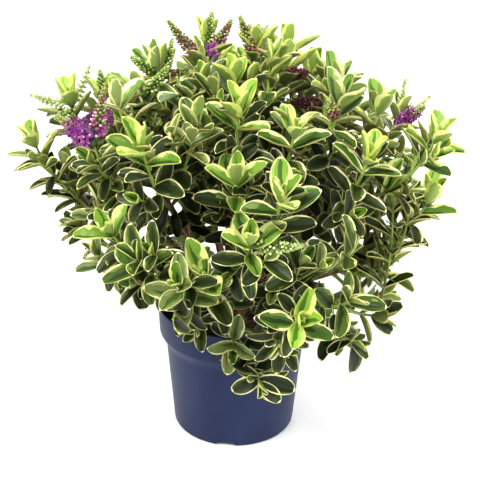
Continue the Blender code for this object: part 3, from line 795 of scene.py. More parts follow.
def grow_masses():
    """Each mass of the crown, with the tips of its shoots, as the imported solids lay them out."""
    masses = []
    for ring in RINGS:
        for i in range(ring.count):
            name = f"{ring.name}_{i + 1}"
            rng = random.Random(name)
            azimuth = ring.azimuth + 360 * i / ring.count + jitter(rng, AZIMUTH_JITTER)
            axis = direction(azimuth, ring.elevation + jitter(rng, ELEVATION_JITTER))
            reach = ring.reach * (1 + jitter(rng, REACH_JITTER))
            drop = 0
            if ring.name == "skirt":
                reach *= 1 + SKIRT_REACH_SWING * math.cos(math.radians(azimuth - SKIRT_FAR_AZIMUTH))
                drop = SKIRT_DROP + SKIRT_DROP_SWING * math.cos(math.radians(azimuth - SKIRT_LOW_AZIMUTH))
            tips = []
            for k in range(ring.shoots):
                position = ring.first + 360 * k / ring.shoots + jitter(rng, PLACE_JITTER)
                aim = off_axis(axis, ring.spread + jitter(rng, SPREAD_JITTER), position)
                length = reach * (1 + jitter(rng, REACH_JITTER)) * told(STRETCHED_SHOOTS, name, k, 1)
                across, up = told(MOVED_SHOOTS, name, k, (0, 0))
                tips.append(FORK + aim * length + Vector((across * MM, 0, up * MM - drop)))
            masses.append(Mass(name, ring, axis, reach, FORK + axis * (reach * BOUGH_SHARE), tips))
    return masses


def shoot_points(mass, k):
    """The four control points of one shoot's curve, from the mass's stem to its tip."""
    share = mass.ring.fork + FORK_SPAN * k / (len(mass.tips) - 1)
    foot = FORK + mass.axis * (mass.reach * share)
    tip = mass.tips[k]
    outward = (tip - FORK).normalized()
    away = (tip - foot).normalized()
    lift = mass.ring.lift
    if lift > 0:
        lift *= min(1, max(0, TWIG_LEAST_LIFT + away.z)) * (1 - TWIG_LEAN * abs(mass.axis.y))
    end = (outward * (1 - abs(lift)) + Vector((0, 0, lift))).normalized()
    pull = mass.reach * TWIG_PULL
    tip_pull = min(mass.reach, (tip - foot).length * 2) * TWIG_TIP_PULL
    leave = (away + (away - mass.axis) * TWIG_SPLAY).normalized()
    return (foot, foot + leave * pull, tip - end * tip_pull, tip)


def main_pairs(mass, k, line, vigour):
    """The pairs of leaves down one shoot: the rosette, then mature pairs to near its foot."""
    skirt = mass.ring.name == "skirt"
    share, form = (SKIRT_SIZE, "low") if skirt else (1, "mature")
    rosette = QUIET_ROSETTE if skirt or k in QUIET_SHOOTS.get(mass.name, ()) else ROSETTE
    size = vigour * share
    pairs = [pair._replace(back=pair.back * vigour, length=pair.length * size) for pair in rosette]
    back = pairs[-1].back
    length = LOWER_LENGTH * share
    while back + LOWER_SPACING < line.length * LOWER_SHARE:
        back += LOWER_SPACING
        length *= 1 - LOWER_SHORTEN * LOWER_SPACING / SHORTEN_RUN
        # Pairs far back from the tip take the inner form, whose dimmed tints are painted shade
        pairs.append(Pair(back, LOWER_ANGLE, length * vigour, "inner" if back > INNER_BACK else form))
    return pairs


def grow_shoots(masses):
    """Every shoot: those of the solids first, then their side shoots and the offshoots."""
    shoots = []
    for mass in masses:
        for k in range(len(mass.tips)):
            rng = random.Random(f"{mass.name} shoot {k}")
            line = Line(shoot_points(mass, k))
            spin = told(SPINS, mass.name, k, rng.uniform(0, 90))
            vigour = told(WEAK_SHOOTS, mass.name, k, 1) * (1 + jitter(rng, VIGOUR_JITTER))
            pairs = main_pairs(mass, k, line, vigour)
            shoots.append(Shoot(mass, f"{mass.name} {k}", line, spin, TWIG_FOOT_RADIUS, pairs))
    offshoots = [grow_offshoot(shoots, offshoot) for offshoot in OFFSHOOTS]
    for shoot in list(shoots):
        shoots += side_shoots(shoot)
    return shoots + offshoots


def find_shoot(shoots, name):
    return next(shoot for shoot in shoots if shoot.name == name)


def bearing_place(shoots, borne):
    """The shoot that bears an offshoot, a lone leaf or a raceme, and the place on it."""
    shoot = find_shoot(shoots, borne.bearer)
    return shoot, shoot.line.back(borne.back * MM)[0]


def offshoot_name(offshoot):
    return f"{offshoot.bearer} offshoot {offshoot.back}"


def grow_offshoot(shoots, offshoot):
    """A straight offshoot: its rosette, then pairs of leaves evenly spaced."""
    shoot, foot = bearing_place(shoots, offshoot)
    length = offshoot.length * MM
    bow = direction(offshoot.azimuth, 0) * (length * OFFSHOOT_BOW)
    third = direction(offshoot.azimuth, offshoot.elevation) * (length / 3)
    line = Line((foot, foot + third + bow, foot + third * 2 + bow, foot + third * 3), SHORT_STEPS)
    rosette = ROSETTE if offshoot.bright else QUIET_ROSETTE
    pairs = [pair._replace(length=pair.length * offshoot.size) for pair in rosette if pair.back < length]
    back = pairs[-1].back
    while back + LADDER_SPACING < length * LADDER_LAST:
        back += LADDER_SPACING
        pairs.append(Pair(back, LADDER_ANGLE, LADDER_LENGTH * offshoot.size, "mature"))
    return Shoot(shoot.mass, offshoot_name(offshoot), line, offshoot.spin, OFFSHOOT_RADIUS, pairs)


def lone_leaf(shoots, lone):
    """A leaf that stands by itself, with its upper face up or outward."""
    shoot, foot = bearing_place(shoots, lone)
    rng = random.Random(f"{shoot.name} {lone.azimuth}")
    turn = direction(lone.azimuth, 0)
    leaf = make_leaf(rng, lone.form, foot, Vector((0, 0, 1)), turn, 90 - lone.elevation, lone.length * MM)
    lean = math.radians(lone.lean) * (1 if leaf["side"].y < 0 else -1)
    leaf["normal"] = leaf["normal"] * math.cos(lean) + leaf["side"] * math.sin(lean)
    leaf["side"] = leaf["along"].cross(leaf["normal"])
    return {**leaf, "mass": shoot.mass, "shoot": shoot.name}


def side_shoots(shoot):
    """The short shoots that one shoot bears inside the crown."""
    found = []
    rng = random.Random(f"{shoot.name} side")
    for n, back in enumerate(SIDE_BACKS):
        back = back * (1 + jitter(rng, SIDE_BACK_JITTER))
        if back > shoot.line.length * SIDE_LAST:
            continue
        foot, axis = shoot.line.back(back)
        turn = rng.uniform(-SIDE_TURN_JITTER, SIDE_TURN_JITTER)
        leave = off_axis(axis, SIDE_ANGLE, shoot.spin + 180 * n + turn)
        length = SIDE_LENGTH * (1 + jitter(rng, SIDE_LENGTH_JITTER))
        if shoot.mass.ring.name == "skirt":
            length *= SKIRT_SIDE
        tip = foot + (leave + axis * SIDE_CURVE).normalized() * length
        pull = length * SIDE_PULL
        end = (axis + leave * SIDE_CURVE).normalized()
        line = Line((foot, foot + leave * pull, tip - end * pull, tip), SHORT_STEPS)
        size = SIDE_SIZE * (1 + jitter(rng, SIDE_SIZE_JITTER))
        pairs = []
        for pair in QUIET_ROSETTE:
            # Mature pairs of the later side shoots and their lowest pair take the inner tints, painted shade
            form = "inner" if n > 0 and pair.form == "mature" else pair.form
            way = max(0, pair.back * size - SIDE_CLOSER)
            pairs.append(Pair(way, pair.angle, pair.length * size, form))
        way = pairs[-1].back + LOWER_SPACING
        if way < length * SIDE_SHARE:
            pairs.append(Pair(way, LOWER_ANGLE, LOWER_LENGTH * size * SIDE_LOWER, "inner"))
        name, spin = f"{shoot.name} side {n}", rng.uniform(0, 90)
        found.append(Shoot(shoot.mass, name, line, spin, SIDE_RADIUS, pairs))
    return found


def leaf_surface(leaf, t, s):
    """Points on the upper faces of leaves, and the way up from each.

    leaf holds the values of N leaves, and the ways along and across, t and s, are arrays of N rows.
    """
    t, s = t[..., None], s[..., None]
    taper = (t + LEAF_FOOT) ** leaf["swell"] * np.clip(1 - t, 0, 1) ** leaf["blunt"]
    half = leaf["width"] / 2 * taper / leaf["peak"]
    length, bend, cup = leaf["length"], leaf["bend"], leaf["cup"]
    level = length * np.sin(bend * t) / bend
    climb = length * (1 - np.cos(bend * t)) / bend
    across = half * np.sin(cup * s) / cup
    rise = half * (1 - np.cos(cup * s)) / cup + leaf["fold"] * half * np.abs(s)
    rise = rise + leaf["ripple"] * half * s * s * np.sin(leaf["waves"] * t + leaf["phase"])
    slope = bend * t
    turn = leaf["twist"] * t
    along, normal, side = leaf["along"], leaf["normal"], leaf["side"]
    ahead = along * np.cos(slope) + normal * np.sin(slope)
    up = normal * np.cos(slope) - along * np.sin(slope)
    out = side * np.cos(turn) + up * np.sin(turn)
    up = np.cross(out, ahead)
    middle = leaf["foot"] + along * level + normal * climb + side * (leaf["sway"] * length * t * t)
    return middle + out * across + up * rise, up


LEAF_VALUES = ("length", "width", "swell", "blunt", "peak", "cup", "fold", "bend", "twist", "sway", "ripple",
               "waves", "phase")
LEAF_VECTORS = ("foot", "along", "normal", "side")
# The places along and across a leaf that are tried against what already stands
TRIED_T = np.array([[0.30, 0.50, 0.72, 0.92, 1.0, 0.38, 0.38, 0.62, 0.62, 0.84, 0.84]])
TRIED_S = np.array([[0.0, 0.0, 0.0, 0.0, 0.0, 0.85, -0.85, 0.9, -0.9, 0.8, -0.8]])


def columns(leaves):
    """The leaves' values as arrays, ready for leaf_surface."""
    found = {name: np.array([[[leaf[name]]] for leaf in leaves]) for name in LEAF_VALUES}
    for name in LEAF_VECTORS:
        found[name] = np.array([[tuple(leaf[name])] for leaf in leaves])
    return found


def tried_points(leaf):
    return leaf_surface(columns([leaf]), TRIED_T, TRIED_S)[0][0]


def make_leaf(rng, form, foot, axis, turn, angle, length):
    """A leaf's place, directions and measures. It leaves the axis by that angle, towards turn."""
    shape = FORMS[form]
    a = math.radians(angle)
    along = axis * math.cos(a) + turn * math.sin(a)
    normal = axis * math.sin(a) - turn * math.cos(a)
    top = shape.swell / (shape.swell + shape.blunt)
    bend = shape.bend + jitter(rng, BEND_JITTER)
    return {
        **shape._asdict(),
        "form": form,
        "foot": foot,
        "along": along,
        "normal": normal,
        "side": along.cross(normal),
        "length": length,
        "width": length * shape.share * (1 + jitter(rng, WIDTH_JITTER)),
        "peak": top**shape.swell * (1 - top) ** shape.blunt,
        "cup": shape.cup * (1 + jitter(rng, CUP_JITTER)),
        "bend": bend if abs(bend) > LEAST_BEND else LEAST_BEND,
        "twist": jitter(rng, TWIST),
        "sway": jitter(rng, SWAY),
        "ripple": rng.uniform(0, RIPPLE),
        "waves": rng.uniform(*RIPPLE_WAVES),
        "phase": rng.uniform(0, FULL_TURN),
        "margin": shape.margin * (1 + jitter(rng, MARGIN_JITTER)),
        "seed": rng.getrandbits(30),
    }


class Crowd:
    """The points of what already stands in the crown, kept in small boxes to find near ones fast."""

    def __init__(self, cell=0.006):
        self.cell = cell
        self.boxes = {}

    def key(self, point):
        return tuple(math.floor(c / self.cell) for c in point)

    def add(self, points, owner):
        for point in map(tuple, points):
            self.boxes.setdefault(self.key(point), []).append((point, owner))

    def meets(self, points, owner, room):
        least = room * room
        for point in points:
            x, y, z = self.key(point)
            for i in (x - 1, x, x + 1):
                for j in (y - 1, y, y + 1):
                    for k in (z - 1, z, z + 1):
                        for other, whose in self.boxes.get((i, j, k), ()):
                            if whose != owner:
                                a, b, c = other[0] - point[0], other[1] - point[1], other[2] - point[2]
                                if a * a + b * b + c * c < least:
                                    return True
        return False


def clear_of_pot(points):
    radius = np.hypot(points[:, 0], points[:, 1])
    low = points[:, 2] < POT_HEIGHT + POT_MARGIN
    inside = radius < RIM_RADIUS - WALL - POT_MARGIN
    over_soil = points[:, 2] > SOIL_TOP + POT_MARGIN
    return bool(np.all(~low | (radius > RIM_RADIUS + POT_MARGIN) | (inside & over_soil)))


def raceme_room(line, room):
    """Points round a raceme, but for its foot, that keep leaves off it."""
    points = []
    for i in range(ROOM_FROM, ROOM_STEPS + 1):
        place, axis = line.back(line.length * (1 - i / ROOM_STEPS))
        points += [place + off_axis(axis, 90, turn) * room for turn in range(0, 360, 60)]
    return points


def sight(camera, x, y, depth):
    """The place that far behind a place of the picture."""
    span = SENSOR / LENS / IMAGE_SIDE
    ahead = Vector(((x - IMAGE_SIDE / 2) * span, (IMAGE_SIDE / 2 - y) * span, -1))
    return camera.matrix_world @ (ahead * depth)


def keep_gaps(crowd, camera):
    """Fills the lines of sight through the sky gaps with points, so that no leaf grows across them."""
    steps = round((GAP_FAR - GAP_NEAR) / GAP_STEP)
    spots = [(i, j) for i in range(-2, 3) for j in range(-2, 3) if i * i + j * j < 7]
    for x, y, across, up in SKY_GAPS:
        for i, j in spots:
            spot = (x + across * i / 2, y + up * j / 2)
            crowd.add([sight(camera, *spot, GAP_NEAR + GAP_STEP * n) for n in range(steps)], "sky")


def keep_view(crowd, camera, place, radius, owner):
    """Keeps the leaves of other shoots out of the view of a place."""
    toward = (camera.location - place).normalized()
    steps = range(2, round(SHOWN_REACH / GAP_STEP))
    starts = [place] + [place + off_axis(toward, 90, turn) * radius for turn in range(0, 360, 60)]
    for start in starts:
        crowd.add([start + toward * (GAP_STEP * n) for n in steps], owner)


def shown_names():
    """The names of the shoots and offshoots whose tips are seen whole."""
    return [*SHOWN_SHOOTS, *[offshoot_name(offshoot) for offshoot in OFFSHOOTS if offshoot.shown]]


def keep_views(crowd, camera, shoots):
    """Keeps open the views of the shown tips, of the ladders and of the shown racemes."""
    for name in shown_names():
        tip, axis = find_shoot(shoots, name).line.back(0)
        keep_view(crowd, camera, tip + axis * SHOWN_RISE, SHOWN_RADIUS, name)
    for offshoot in OFFSHOOTS:
        if offshoot.shown:
            shoot = find_shoot(shoots, offshoot_name(offshoot))
            for back in range(LADDER_VIEW_FROM, offshoot.length - LADDER_VIEW_END, LADDER_VIEW_STEP):
                for across in LADDER_SHOWN:
                    place = shoot.line.back(back * MM)[0] + Vector((across, 0, 0))
                    keep_view(crowd, camera, place, LADDER_VIEW_RADIUS, shoot.name)
    for raceme in SHOWN_RACEMES:
        line = raceme_line(shoots, raceme)
        for share in SHOWN_SHARES:
            place = line.back(line.length * (1 - share))[0]
            keep_view(crowd, camera, place, STAGES[raceme.stage].foot_radius * MM, raceme.bearer)


def place_leaf(crowd, shoot, pair, position, rng):
    """A leaf in the first of its tries that is clear of the pot and of what already stands, or None."""
    foot, axis = shoot.line.back(pair.back)
    position += jitter(rng, TURN_JITTER)
    angle = pair.angle + jitter(rng, LEAN_JITTER)
    length = pair.length * (1 + jitter(rng, LENGTH_JITTER))
    seed = rng.getrandbits(30)
    for fold, swing, size in LEAF_TRIES:
        turn = off_axis(axis, 90, position + swing)
        leaf = make_leaf(random.Random(seed), pair.form, foot, axis, turn, angle * fold, length * size)
        spots = tried_points(leaf)
        if clear_of_pot(spots) and not crowd.meets(spots, shoot.name, LEAF_ROOM):
            crowd.add(spots, shoot.name)
            return {**leaf, "mass": shoot.mass, "shoot": shoot.name}
    return None


def grow_leaves(shoots, camera):
    """The leaves of every shoot, in pairs that turn by a right angle, each kept clear of the others."""
    crowd = Crowd()
    keep_gaps(crowd, camera)
    keep_views(crowd, camera, shoots)
    for shoot in shoots:
        crowd.add(shoot.line.points[::4], shoot.name)
    for raceme in RACEMES:
        line = raceme_line(shoots, raceme)
        stage = STAGES[raceme.stage]
        crowd.add(raceme_room(line, (stage.foot_radius + stage.bud_length) * MM * RACEME_ROOM), raceme.bearer)
        crowd.add(raceme_room(line, 0.0), "raceme")
    leaves = [lone_leaf(shoots, lone) for lone in LONE_LEAVES]
    for leaf in leaves:
        crowd.add(tried_points(leaf), leaf["shoot"])
    turns = []
    for shoot in shoots:
        later = SIDE_LATER if "side" in shoot.name else 0
        turns += [(order + later, shoot, order) for order in range(len(shoot.pairs))]
    turns.sort(key=lambda turn: turn[0])
    for _, shoot, order in turns:
        rng = random.Random(f"{shoot.name} pair {order}")
        for half in (0, 180):
            leaves.append(place_leaf(crowd, shoot, shoot.pairs[order], shoot.spin + 90 * order + half, rng))
    return [leaf for leaf in leaves if leaf]


FINE_ROWS = (0.03, 0.10, 0.19, 0.30, 0.42, 0.54, 0.66, 0.77, 0.87, 0.95)
PLAIN_ROWS = (0.03, 0.12, 0.25, 0.40, 0.56, 0.72, 0.85, 0.945)
# Columns of points across a leaf's upper face, and across its underside between the two edges
FINE_COLUMNS = 9
PLAIN_COLUMNS = 7
UNDER_COLUMNS = 3
# How far the underside's columns lie below the upper face, and how much more the midrib does at the foot
KEEL = np.array([0.75, 1.0, 0.75]) * LEAF_THICKNESS
MIDRIB = np.array([0, 0.0006, 0])
# Mean share, wander and limits of the splash and of the streak, and the limits of the margin's inner edge
SPLASH_EDGE = (0.66, 0.08, 0.46, 0.86)
STREAK_EDGE = (0.32, 0.10, 0.14, 0.50)
BORDER_LIMITS = (0.38, 0.93)
# How many waves the wander of an edge has along a leaf, from long to short
WANDER_WAVES = (1.3, 2.7, 5.1)


def leaf_faces(rows, fine):
    """The faces of one leaf, as corners, the side, row and column of each, and which points are its rim."""
    upper = FINE_COLUMNS if fine else PLAIN_COLUMNS
    ring = upper + UNDER_COLUMNS
    tip = 1 + rows * ring
    last = tip - ring
    # Each strip along the leaf: its side, its column and the two points of a row that it lies between
    strips = [(0, j, j, j + 1) for j in range(upper - 1)]
    below = [0, *range(upper, ring), upper - 1]
    strips += [(1, j, below[j + 1], below[j]) for j in range(UNDER_COLUMNS + 1)]
    faces, places = [], []
    for i in range(rows - 1):
        low = 1 + i * ring
        for side, j, a, b in strips:
            faces.append((low + a, low + b, low + ring + b, low + ring + a))
            places.append((side, i + 1, j))
    for side, j, a, b in strips:
        faces += [(0, 1 + b, 1 + a, -1), (last + a, last + b, tip, -1)]
        places += [(side, 0, j), (side, rows, j)]
    rim = np.zeros(tip + 1, bool)
    rim[[0, tip]] = True
    rim[1:tip:ring] = True
    rim[upper:tip:ring] = True
    return np.array(faces), np.array(places), rim


def wander(rng, count, steps, size):
    """A smooth random swing along a leaf for each of count leaves."""
    t = np.linspace(0, 1, steps)[None, :]
    swing = np.zeros((count, steps))
    for waves in WANDER_WAVES:
        phase = rng.uniform(0, 2 * np.pi, (count, 1))
        swing += np.sin(2 * np.pi * waves * t + phase) * rng.uniform(0.3, 1, (count, 1)) / waves**0.5
    swing += rng.uniform(-0.5, 0.5, (count, steps))
    return swing * size


def leaf_edges(leaves, marks, steps, rng):
    """Where the margin, the splash and the streak end across each half of each leaf, row by row."""
    count = len(leaves)
    margin = np.array([[leaf["margin"]] for leaf in leaves])
    swing = np.array([[leaf["wander"]] for leaf in leaves])
    row = np.arange(steps)[None, :]
    edges = []
    for hand, side in enumerate((-1, 1)):
        border = np.clip(1 - margin - wander(rng, count, steps, 1) * swing, *BORDER_LIMITS)
        middle, play, least, most = SPLASH_EDGE
        splash = border * np.clip(middle + wander(rng, count, steps, play), least, most)
        middle, play, least, most = STREAK_EDGE
        streak = border * np.clip(middle + wander(rng, count, steps, play), least, most)
        if leaves[0]["fine"]:
            first, last, dark = (mark[:, hand, None] for mark in marks[:3])
            splash = np.where((row >= first) & (row + 1 <= last), splash, border * SPLASH_END)
            streak = np.where(row + 1 <= dark, streak, streak * STREAK_END)
        edges.append((border * side, splash * side, streak * side))
    return edges


def leaf_meshes(leaves, fine):
    """Points, faces, parts and rims of all these leaves, which share one layout of rows and columns."""
    rows = FINE_ROWS if fine else PLAIN_ROWS
    steps, count = len(rows), len(leaves)
    faces, places, rim = leaf_faces(steps, fine)
    rng = np.random.default_rng(leaves[0]["seed"])
    marks = leaf_marks(rng, count, steps)
    left, right = leaf_edges(leaves, marks, steps, rng)
    one = np.ones((count, steps))
    inner = slice(0, 3 if fine else 2)
    tops = [-one, *left[inner], 0 * one, *right[inner][::-1], one]
    unders = [left[0], 0 * one, right[0]]
    values = columns(leaves)
    points = [values["foot"] - values["along"] * LEAF_INSET]
    for i, t in enumerate(rows):
        across = np.stack([column[:, i] for column in tops], axis=1)
        points.append(leaf_surface(values, np.full_like(across, t), across)[0])
        across = np.stack([column[:, i] for column in unders], axis=1)
        lower, up = leaf_surface(values, np.full_like(across, t), across)
        points.append(lower - up * (KEEL + MIDRIB * (1 - t))[None, :, None])
    end = np.ones((count, 1))
    points.append(leaf_surface(values, end, end * 0)[0])
    points = np.concatenate(points, axis=1)
    shift = (np.arange(count) * points.shape[1])[:, None, None]
    all_faces = np.where(faces[None] >= 0, faces[None] + shift, -1)
    return points, all_faces, leaf_parts(marks, places, steps, fine), np.tile(rim, count)


# Where a leaf's pale splash starts and ends and its dark streak ends, in rows, on each half of each leaf
Marks = namedtuple("Marks", "splash_from splash_to streak_to splashed")
SPLASH_START = (0.0, 0.5)
SPLASH_RUN = (0.3, 0.8)
STREAK_RUN = (0.45, 1.1)
SPLASHED_SHARE = 0.8
# How narrow a splash and a streak are at their ends, as shares of the border and of the streak
SPLASH_END = 0.95
STREAK_END = 0.15


def leaf_marks(rng, count, steps):
    halves = (count, 2)
    start = rng.uniform(*SPLASH_START, halves) * steps
    end = start + rng.uniform(*SPLASH_RUN, halves) * steps
    streak_to = rng.uniform(*STREAK_RUN, halves) * steps
    return Marks(start, end, streak_to, rng.uniform(0, 1, halves) < SPLASHED_SHARE)


def leaf_parts(marks, places, steps, fine):
    """Which part of the leaf each face is."""
    last = (FINE_COLUMNS if fine else PLAIN_COLUMNS) - 2
    parts = np.zeros((len(marks.splashed), len(places)), int)
    for f, (is_under, row, column) in enumerate(places):
        hand = 0 if column <= last // 2 else 1
        inward = column if hand == 0 else last - column
        if is_under:
            parts[:, f] = UNDER_MARGIN if column in (0, UNDER_COLUMNS) else UNDERSIDE
        elif inward == 0 or row == steps:
            parts[:, f] = MARGIN
        elif inward == 1:
            lit = (row >= marks.splash_from[:, hand]) & (row <= marks.splash_to[:, hand])
            parts[:, f] = np.where(marks.splashed[:, hand] & lit, SPLASH, CENTRE)
        elif inward == 2 and fine:
            parts[:, f] = CENTRE
        else:
            parts[:, f] = np.where(row <= marks.streak_to[:, hand], STREAK, CENTRE)
    return parts


def leaf_palette():
    """The leaf materials, with where each form's tint starts among them."""
    materials, starts = [], {}
    for form, tints in TINTS.items():
        for n, tint in enumerate(tints):
            starts[(form, n)] = len(materials)
            for part, colour in zip(PARTS, tint):
                name = f"leaf {form} {n + 1} {part}"
                materials.append(plain_material(name, srgb(colour), LEAF_ROUGHNESS, LEAF_SPECULAR))
    return materials, starts


def build_leaves(leaves, masses):
    """Pieces of joined leaves, each standing for the masses whose leaves it holds."""
    materials, starts = leaf_palette()
    shown = shown_names()
    heap, stood, number = Heap(), [], 1
    for mass in masses:
        for fine in (True, False):
            chosen = [leaf for leaf in leaves if leaf["mass"] is mass and leaf["fine"] == fine]
            if not chosen:
                continue
            points, faces, parts, rim = leaf_meshes(chosen, fine)
            first = []
            for leaf in chosen:
                form, shoot = leaf["form"], leaf["shoot"]
                tints = len(TINTS[form])
                # The tints are the leaves' own colours, but the shown shoots keep only the brightest, as
                # painted light
                if shoot in shown:
                    tints = min(tints, PAINTED_LIGHT_TINTS)
                first.append([starts[(form, random.Random(shoot + form).randrange(tints))]])
            heap.add(points, faces, (parts + np.array(first)).ravel(), rim)
        stood.append(f"mass_{mass.name}")
        if heap.triangles > PIECE_FULL or mass is masses[-1]:
            piece = dress(heap.build(f"leaves_{number}", materials))
            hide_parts(*stood)
            heap, stood, number = Heap(), [], number + 1


def barrel(rings, sides):
    """The faces between rings of points, from the first ring to the last."""
    faces = []
    for low in range(0, (rings - 1) * sides, sides):
        for n in range(sides):
            a, b = low + n, low + (n + 1) % sides
            faces.append((a, b, b + sides, a + sides))
    return faces


def tube(points, radii, sides, relief=None):
    """A closed limb: points, faces and the ring of each face. Its ends are capped."""
    rings = len(points)
    tangent = (points[1] - points[0]).normalized()
    side = tangent.cross(Vector((0, 0, 1)))
    side = (side if side.length > 1e-3 else tangent.cross(Vector((1, 0, 0)))).normalized()
    verts = []
    for i, point in enumerate(points):
        ahead = (points[min(rings - 1, i + 1)] - points[max(0, i - 1)]).normalized()
        side = (side - ahead * side.dot(ahead)).normalized()
        other = ahead.cross(side)
        for n in range(sides):
            a = 2 * math.pi * n / sides
            out = side * math.cos(a) + other * math.sin(a)
            radius = radii[i]
            if relief:
                radius += relief(point, out, radius)
            verts.append(point + out * radius)
    faces = barrel(rings, sides)
    first, last = len(verts), len(verts) + 1
    verts += [points[0], points[-1]]
    high = (rings - 1) * sides
    for n in range(sides):
        m = (n + 1) % sides
        faces += [(first, m, n, -1), (last, high + n, high + m, -1)]
    rows = [i for i in range(rings - 1) for _ in range(sides)] + [0, rings - 2] * sides
    return verts, faces, rows


def build_twigs(shoots):
    """The shoots' twigs, green near the tip and brown below, swollen where leaves join."""
    materials = [plain_material(name, srgb(colour), TWIG_ROUGHNESS) for name, colour in TWIG_COLOURS.items()]
    heap = Heap()
    for shoot in shoots:
        length, pairs = shoot.line.length, shoot.pairs[TIP_PAIRS:]
        steps = max(TWIG_LEAST_STEPS, round(length / TWIG_STEP))
        points, radii, backs = [], [], []
        for i in range(steps + 1):
            back = length * (1 - i / steps)
            radius = TWIG_TIP_RADIUS + (shoot.foot_radius - TWIG_TIP_RADIUS) * back / length
            swell = sum(math.exp(-(((back - pair.back) / NODE_LENGTH) ** 2)) for pair in pairs)
            points.append(shoot.line.back(back)[0])
            radii.append(radius * (1 + NODE_SWELL * min(1, swell)))
            backs.append(back)
        verts, faces, rows = tube(points, radii, TWIG_SIDES)
        ways = np.array(backs)[np.array(rows)]
        heap.add(verts, faces, np.where(ways < GREEN_LENGTH, 0, np.where(ways < OLIVE_LENGTH, 1, 2)))
    dress(heap.build("twigs", materials))


def bud_shape():
    """A pointed bud of unit length and radius along +Z: its points and faces."""
    sides = 6
    points = circle(0.40, 0.0, sides) + circle(1.0, 0.35, sides) + circle(0.74, 0.72, sides) + [(0, 0, 1)]
    tip, high = 3 * sides, 2 * sides
    faces = barrel(3, sides) + [(high + n, high + (n + 1) % sides, tip, -1) for n in range(sides)]
    return np.array(points), np.array(faces)


def flower_shape():
    """A flower of unit size that faces +Z: points, faces and kinds (0 petal, 1 stamen, 2 anther)."""
    points, faces, kinds = [], [], []

    def add(corners, polygons, kind):
        start = len(points)
        points.extend(corners)
        for polygon in polygons:
            faces.append(tuple(start + i for i in polygon) + (-1,) * (4 - len(polygon)))
            kinds.append(kind)

    # A petal's corners: the way out, the way across and the height
    petal = ((0.05, 0, 0.0), (0.32, 0.19, 0.34), (0.64, 0.09, 0.36), (0.64, -0.09, 0.36), (0.32, -0.19, 0.34))
    for n in range(4):
        a = math.radians(90 * n + 45)
        c, s = math.cos(a), math.sin(a)
        corners = [(c * r - s * w, s * r + c * w, z) for r, w, z in petal]
        add(corners, ((0, 1, 4), (1, 2, 3, 4)), 0)
        add([(x, y, z - 0.03) for x, y, z in corners], ((0, 4, 1), (4, 3, 2, 1)), 0)
    thick, r = 0.055, 0.075
    eight = ((0, 1, 4), (1, 2, 4), (2, 3, 4), (3, 0, 4), (1, 0, 5), (2, 1, 5), (3, 2, 5), (0, 3, 5))
    for side in (-1, 1):
        foot = 0.04 * side
        x, y, z = 0.30 * side, 0.08, 1.20
        stalk = [(foot, 0, 0.2), (foot + thick, 0, 0.2), (foot, thick, 0.2), (x, y, z)]
        add(stalk, ((0, 1, 3), (1, 2, 3), (2, 0, 3), (0, 2, 1)), 1)
        round_it = [(x + r, y, z), (x, y + r, z), (x - r, y, z), (x, y - r, z)]
        add([*round_it, (x, y, z + r), (x, y, z - r)], eight, 2)
    return np.array(points), np.array(faces), np.array(kinds)


Blossom = namedtuple("Blossom", "share place facing size chance")


def stamp(shape, faces, blossoms, width, length):
    """Copies of a shape that points along +Z, set at the blossoms' places and turned to face as they do."""
    ahead = np.array([tuple(blossom.facing.normalized()) for blossom in blossoms])
    guide = np.where(np.abs(ahead[:, 2:]) < 0.9, (0.0, 0.0, 1.0), (1.0, 0.0, 0.0))
    side = np.cross(guide, ahead)
    side /= np.linalg.norm(side, axis=1, keepdims=True)
    other = np.cross(ahead, side)
    size = np.array([blossom.size for blossom in blossoms])[:, None, None]
    x, y, z = (shape[None, :, axis, None] for axis in range(3))
    points = np.array([tuple(blossom.place) for blossom in blossoms])[:, None, :]
    points = points + (side[:, None] * x + other[:, None] * y) * (width * size)
    points = points + ahead[:, None] * z * (length * size)
    shift = (np.arange(len(blossoms)) * len(shape))[:, None, None]
    return points, np.where(faces[None] >= 0, faces[None] + shift, -1)


def raceme_line(shoots, raceme):
    """The raceme's curve, which leaves its shoot at a leaf's foot and turns up a little."""
    foot = bearing_place(shoots, raceme)[1]
    length = raceme.length * MM
    rise = Vector((0, 0, length * RACEME_RISE))
    reach = direction(raceme.azimuth, raceme.elevation) * length
    level = reach - rise
    return Line((foot, foot + level / 3, foot + level * RACEME_SECOND, foot + reach), RACEME_STEPS)


def raceme_radius(stage, share):
    """The raceme's radius in millimetres at that share of its length."""
    return stage.foot_radius + (stage.tip_radius - stage.foot_radius) * share**RACEME_BLUNT


def raceme_blossoms(raceme, line):
    """The buds and the open flowers of a raceme, from its foot up."""
    stage = STAGES[raceme.stage]
    rng = random.Random(f"{raceme.bearer} {raceme.azimuth}")
    buds, flowers = [], []
    for n in range(stage.count):
        share = RACEME_BARE + (1 - RACEME_BARE) * (n + 0.5) / stage.count
        place, axis = line.back(line.length * (1 - share))
        for turn in (90 * n, 90 * n + 180) if raceme.stage == "comb" else (GOLDEN_ANGLE * n,):
            tilt = BUD_TILT - BUD_TIP_TILT * share**2 + rng.uniform(-TILT_JITTER, TILT_JITTER)
            facing = off_axis(axis, tilt, turn + rng.uniform(-PLACE_TURN, PLACE_TURN))
            chance = rng.random()
            size = (1 - BUD_TAPER * share**2) * (BUD_LEAST + BUD_SPAN * chance)
            out = raceme_radius(stage, share) * MM - stage.bud_radius * MM * BUD_SINK
            open_to = stage.open_share * (OPEN_LEAST + OPEN_SPAN * chance)
            is_open = share < open_to and chance < OPEN_CHANCE
            (flowers if is_open else buds).append(Blossom(share, place + facing * out, facing, size, chance))
    return buds, flowers


def add_core(heap, stage, line, slot):
    """The stalk of a raceme, or the core that its buds close over, whose dark colour is painted shade."""
    shares = [i / CORE_STEPS for i in range(CORE_STEPS + 1)]
    points = [line.back(line.length * (1 - share))[0] for share in shares]
    radii = [max(RACHIS, raceme_radius(stage, share) * CORE_SHARE) * MM for share in shares]
    verts, faces, _ = tube(points, radii, TWIG_SIDES)
    heap.add(verts, faces, slot)


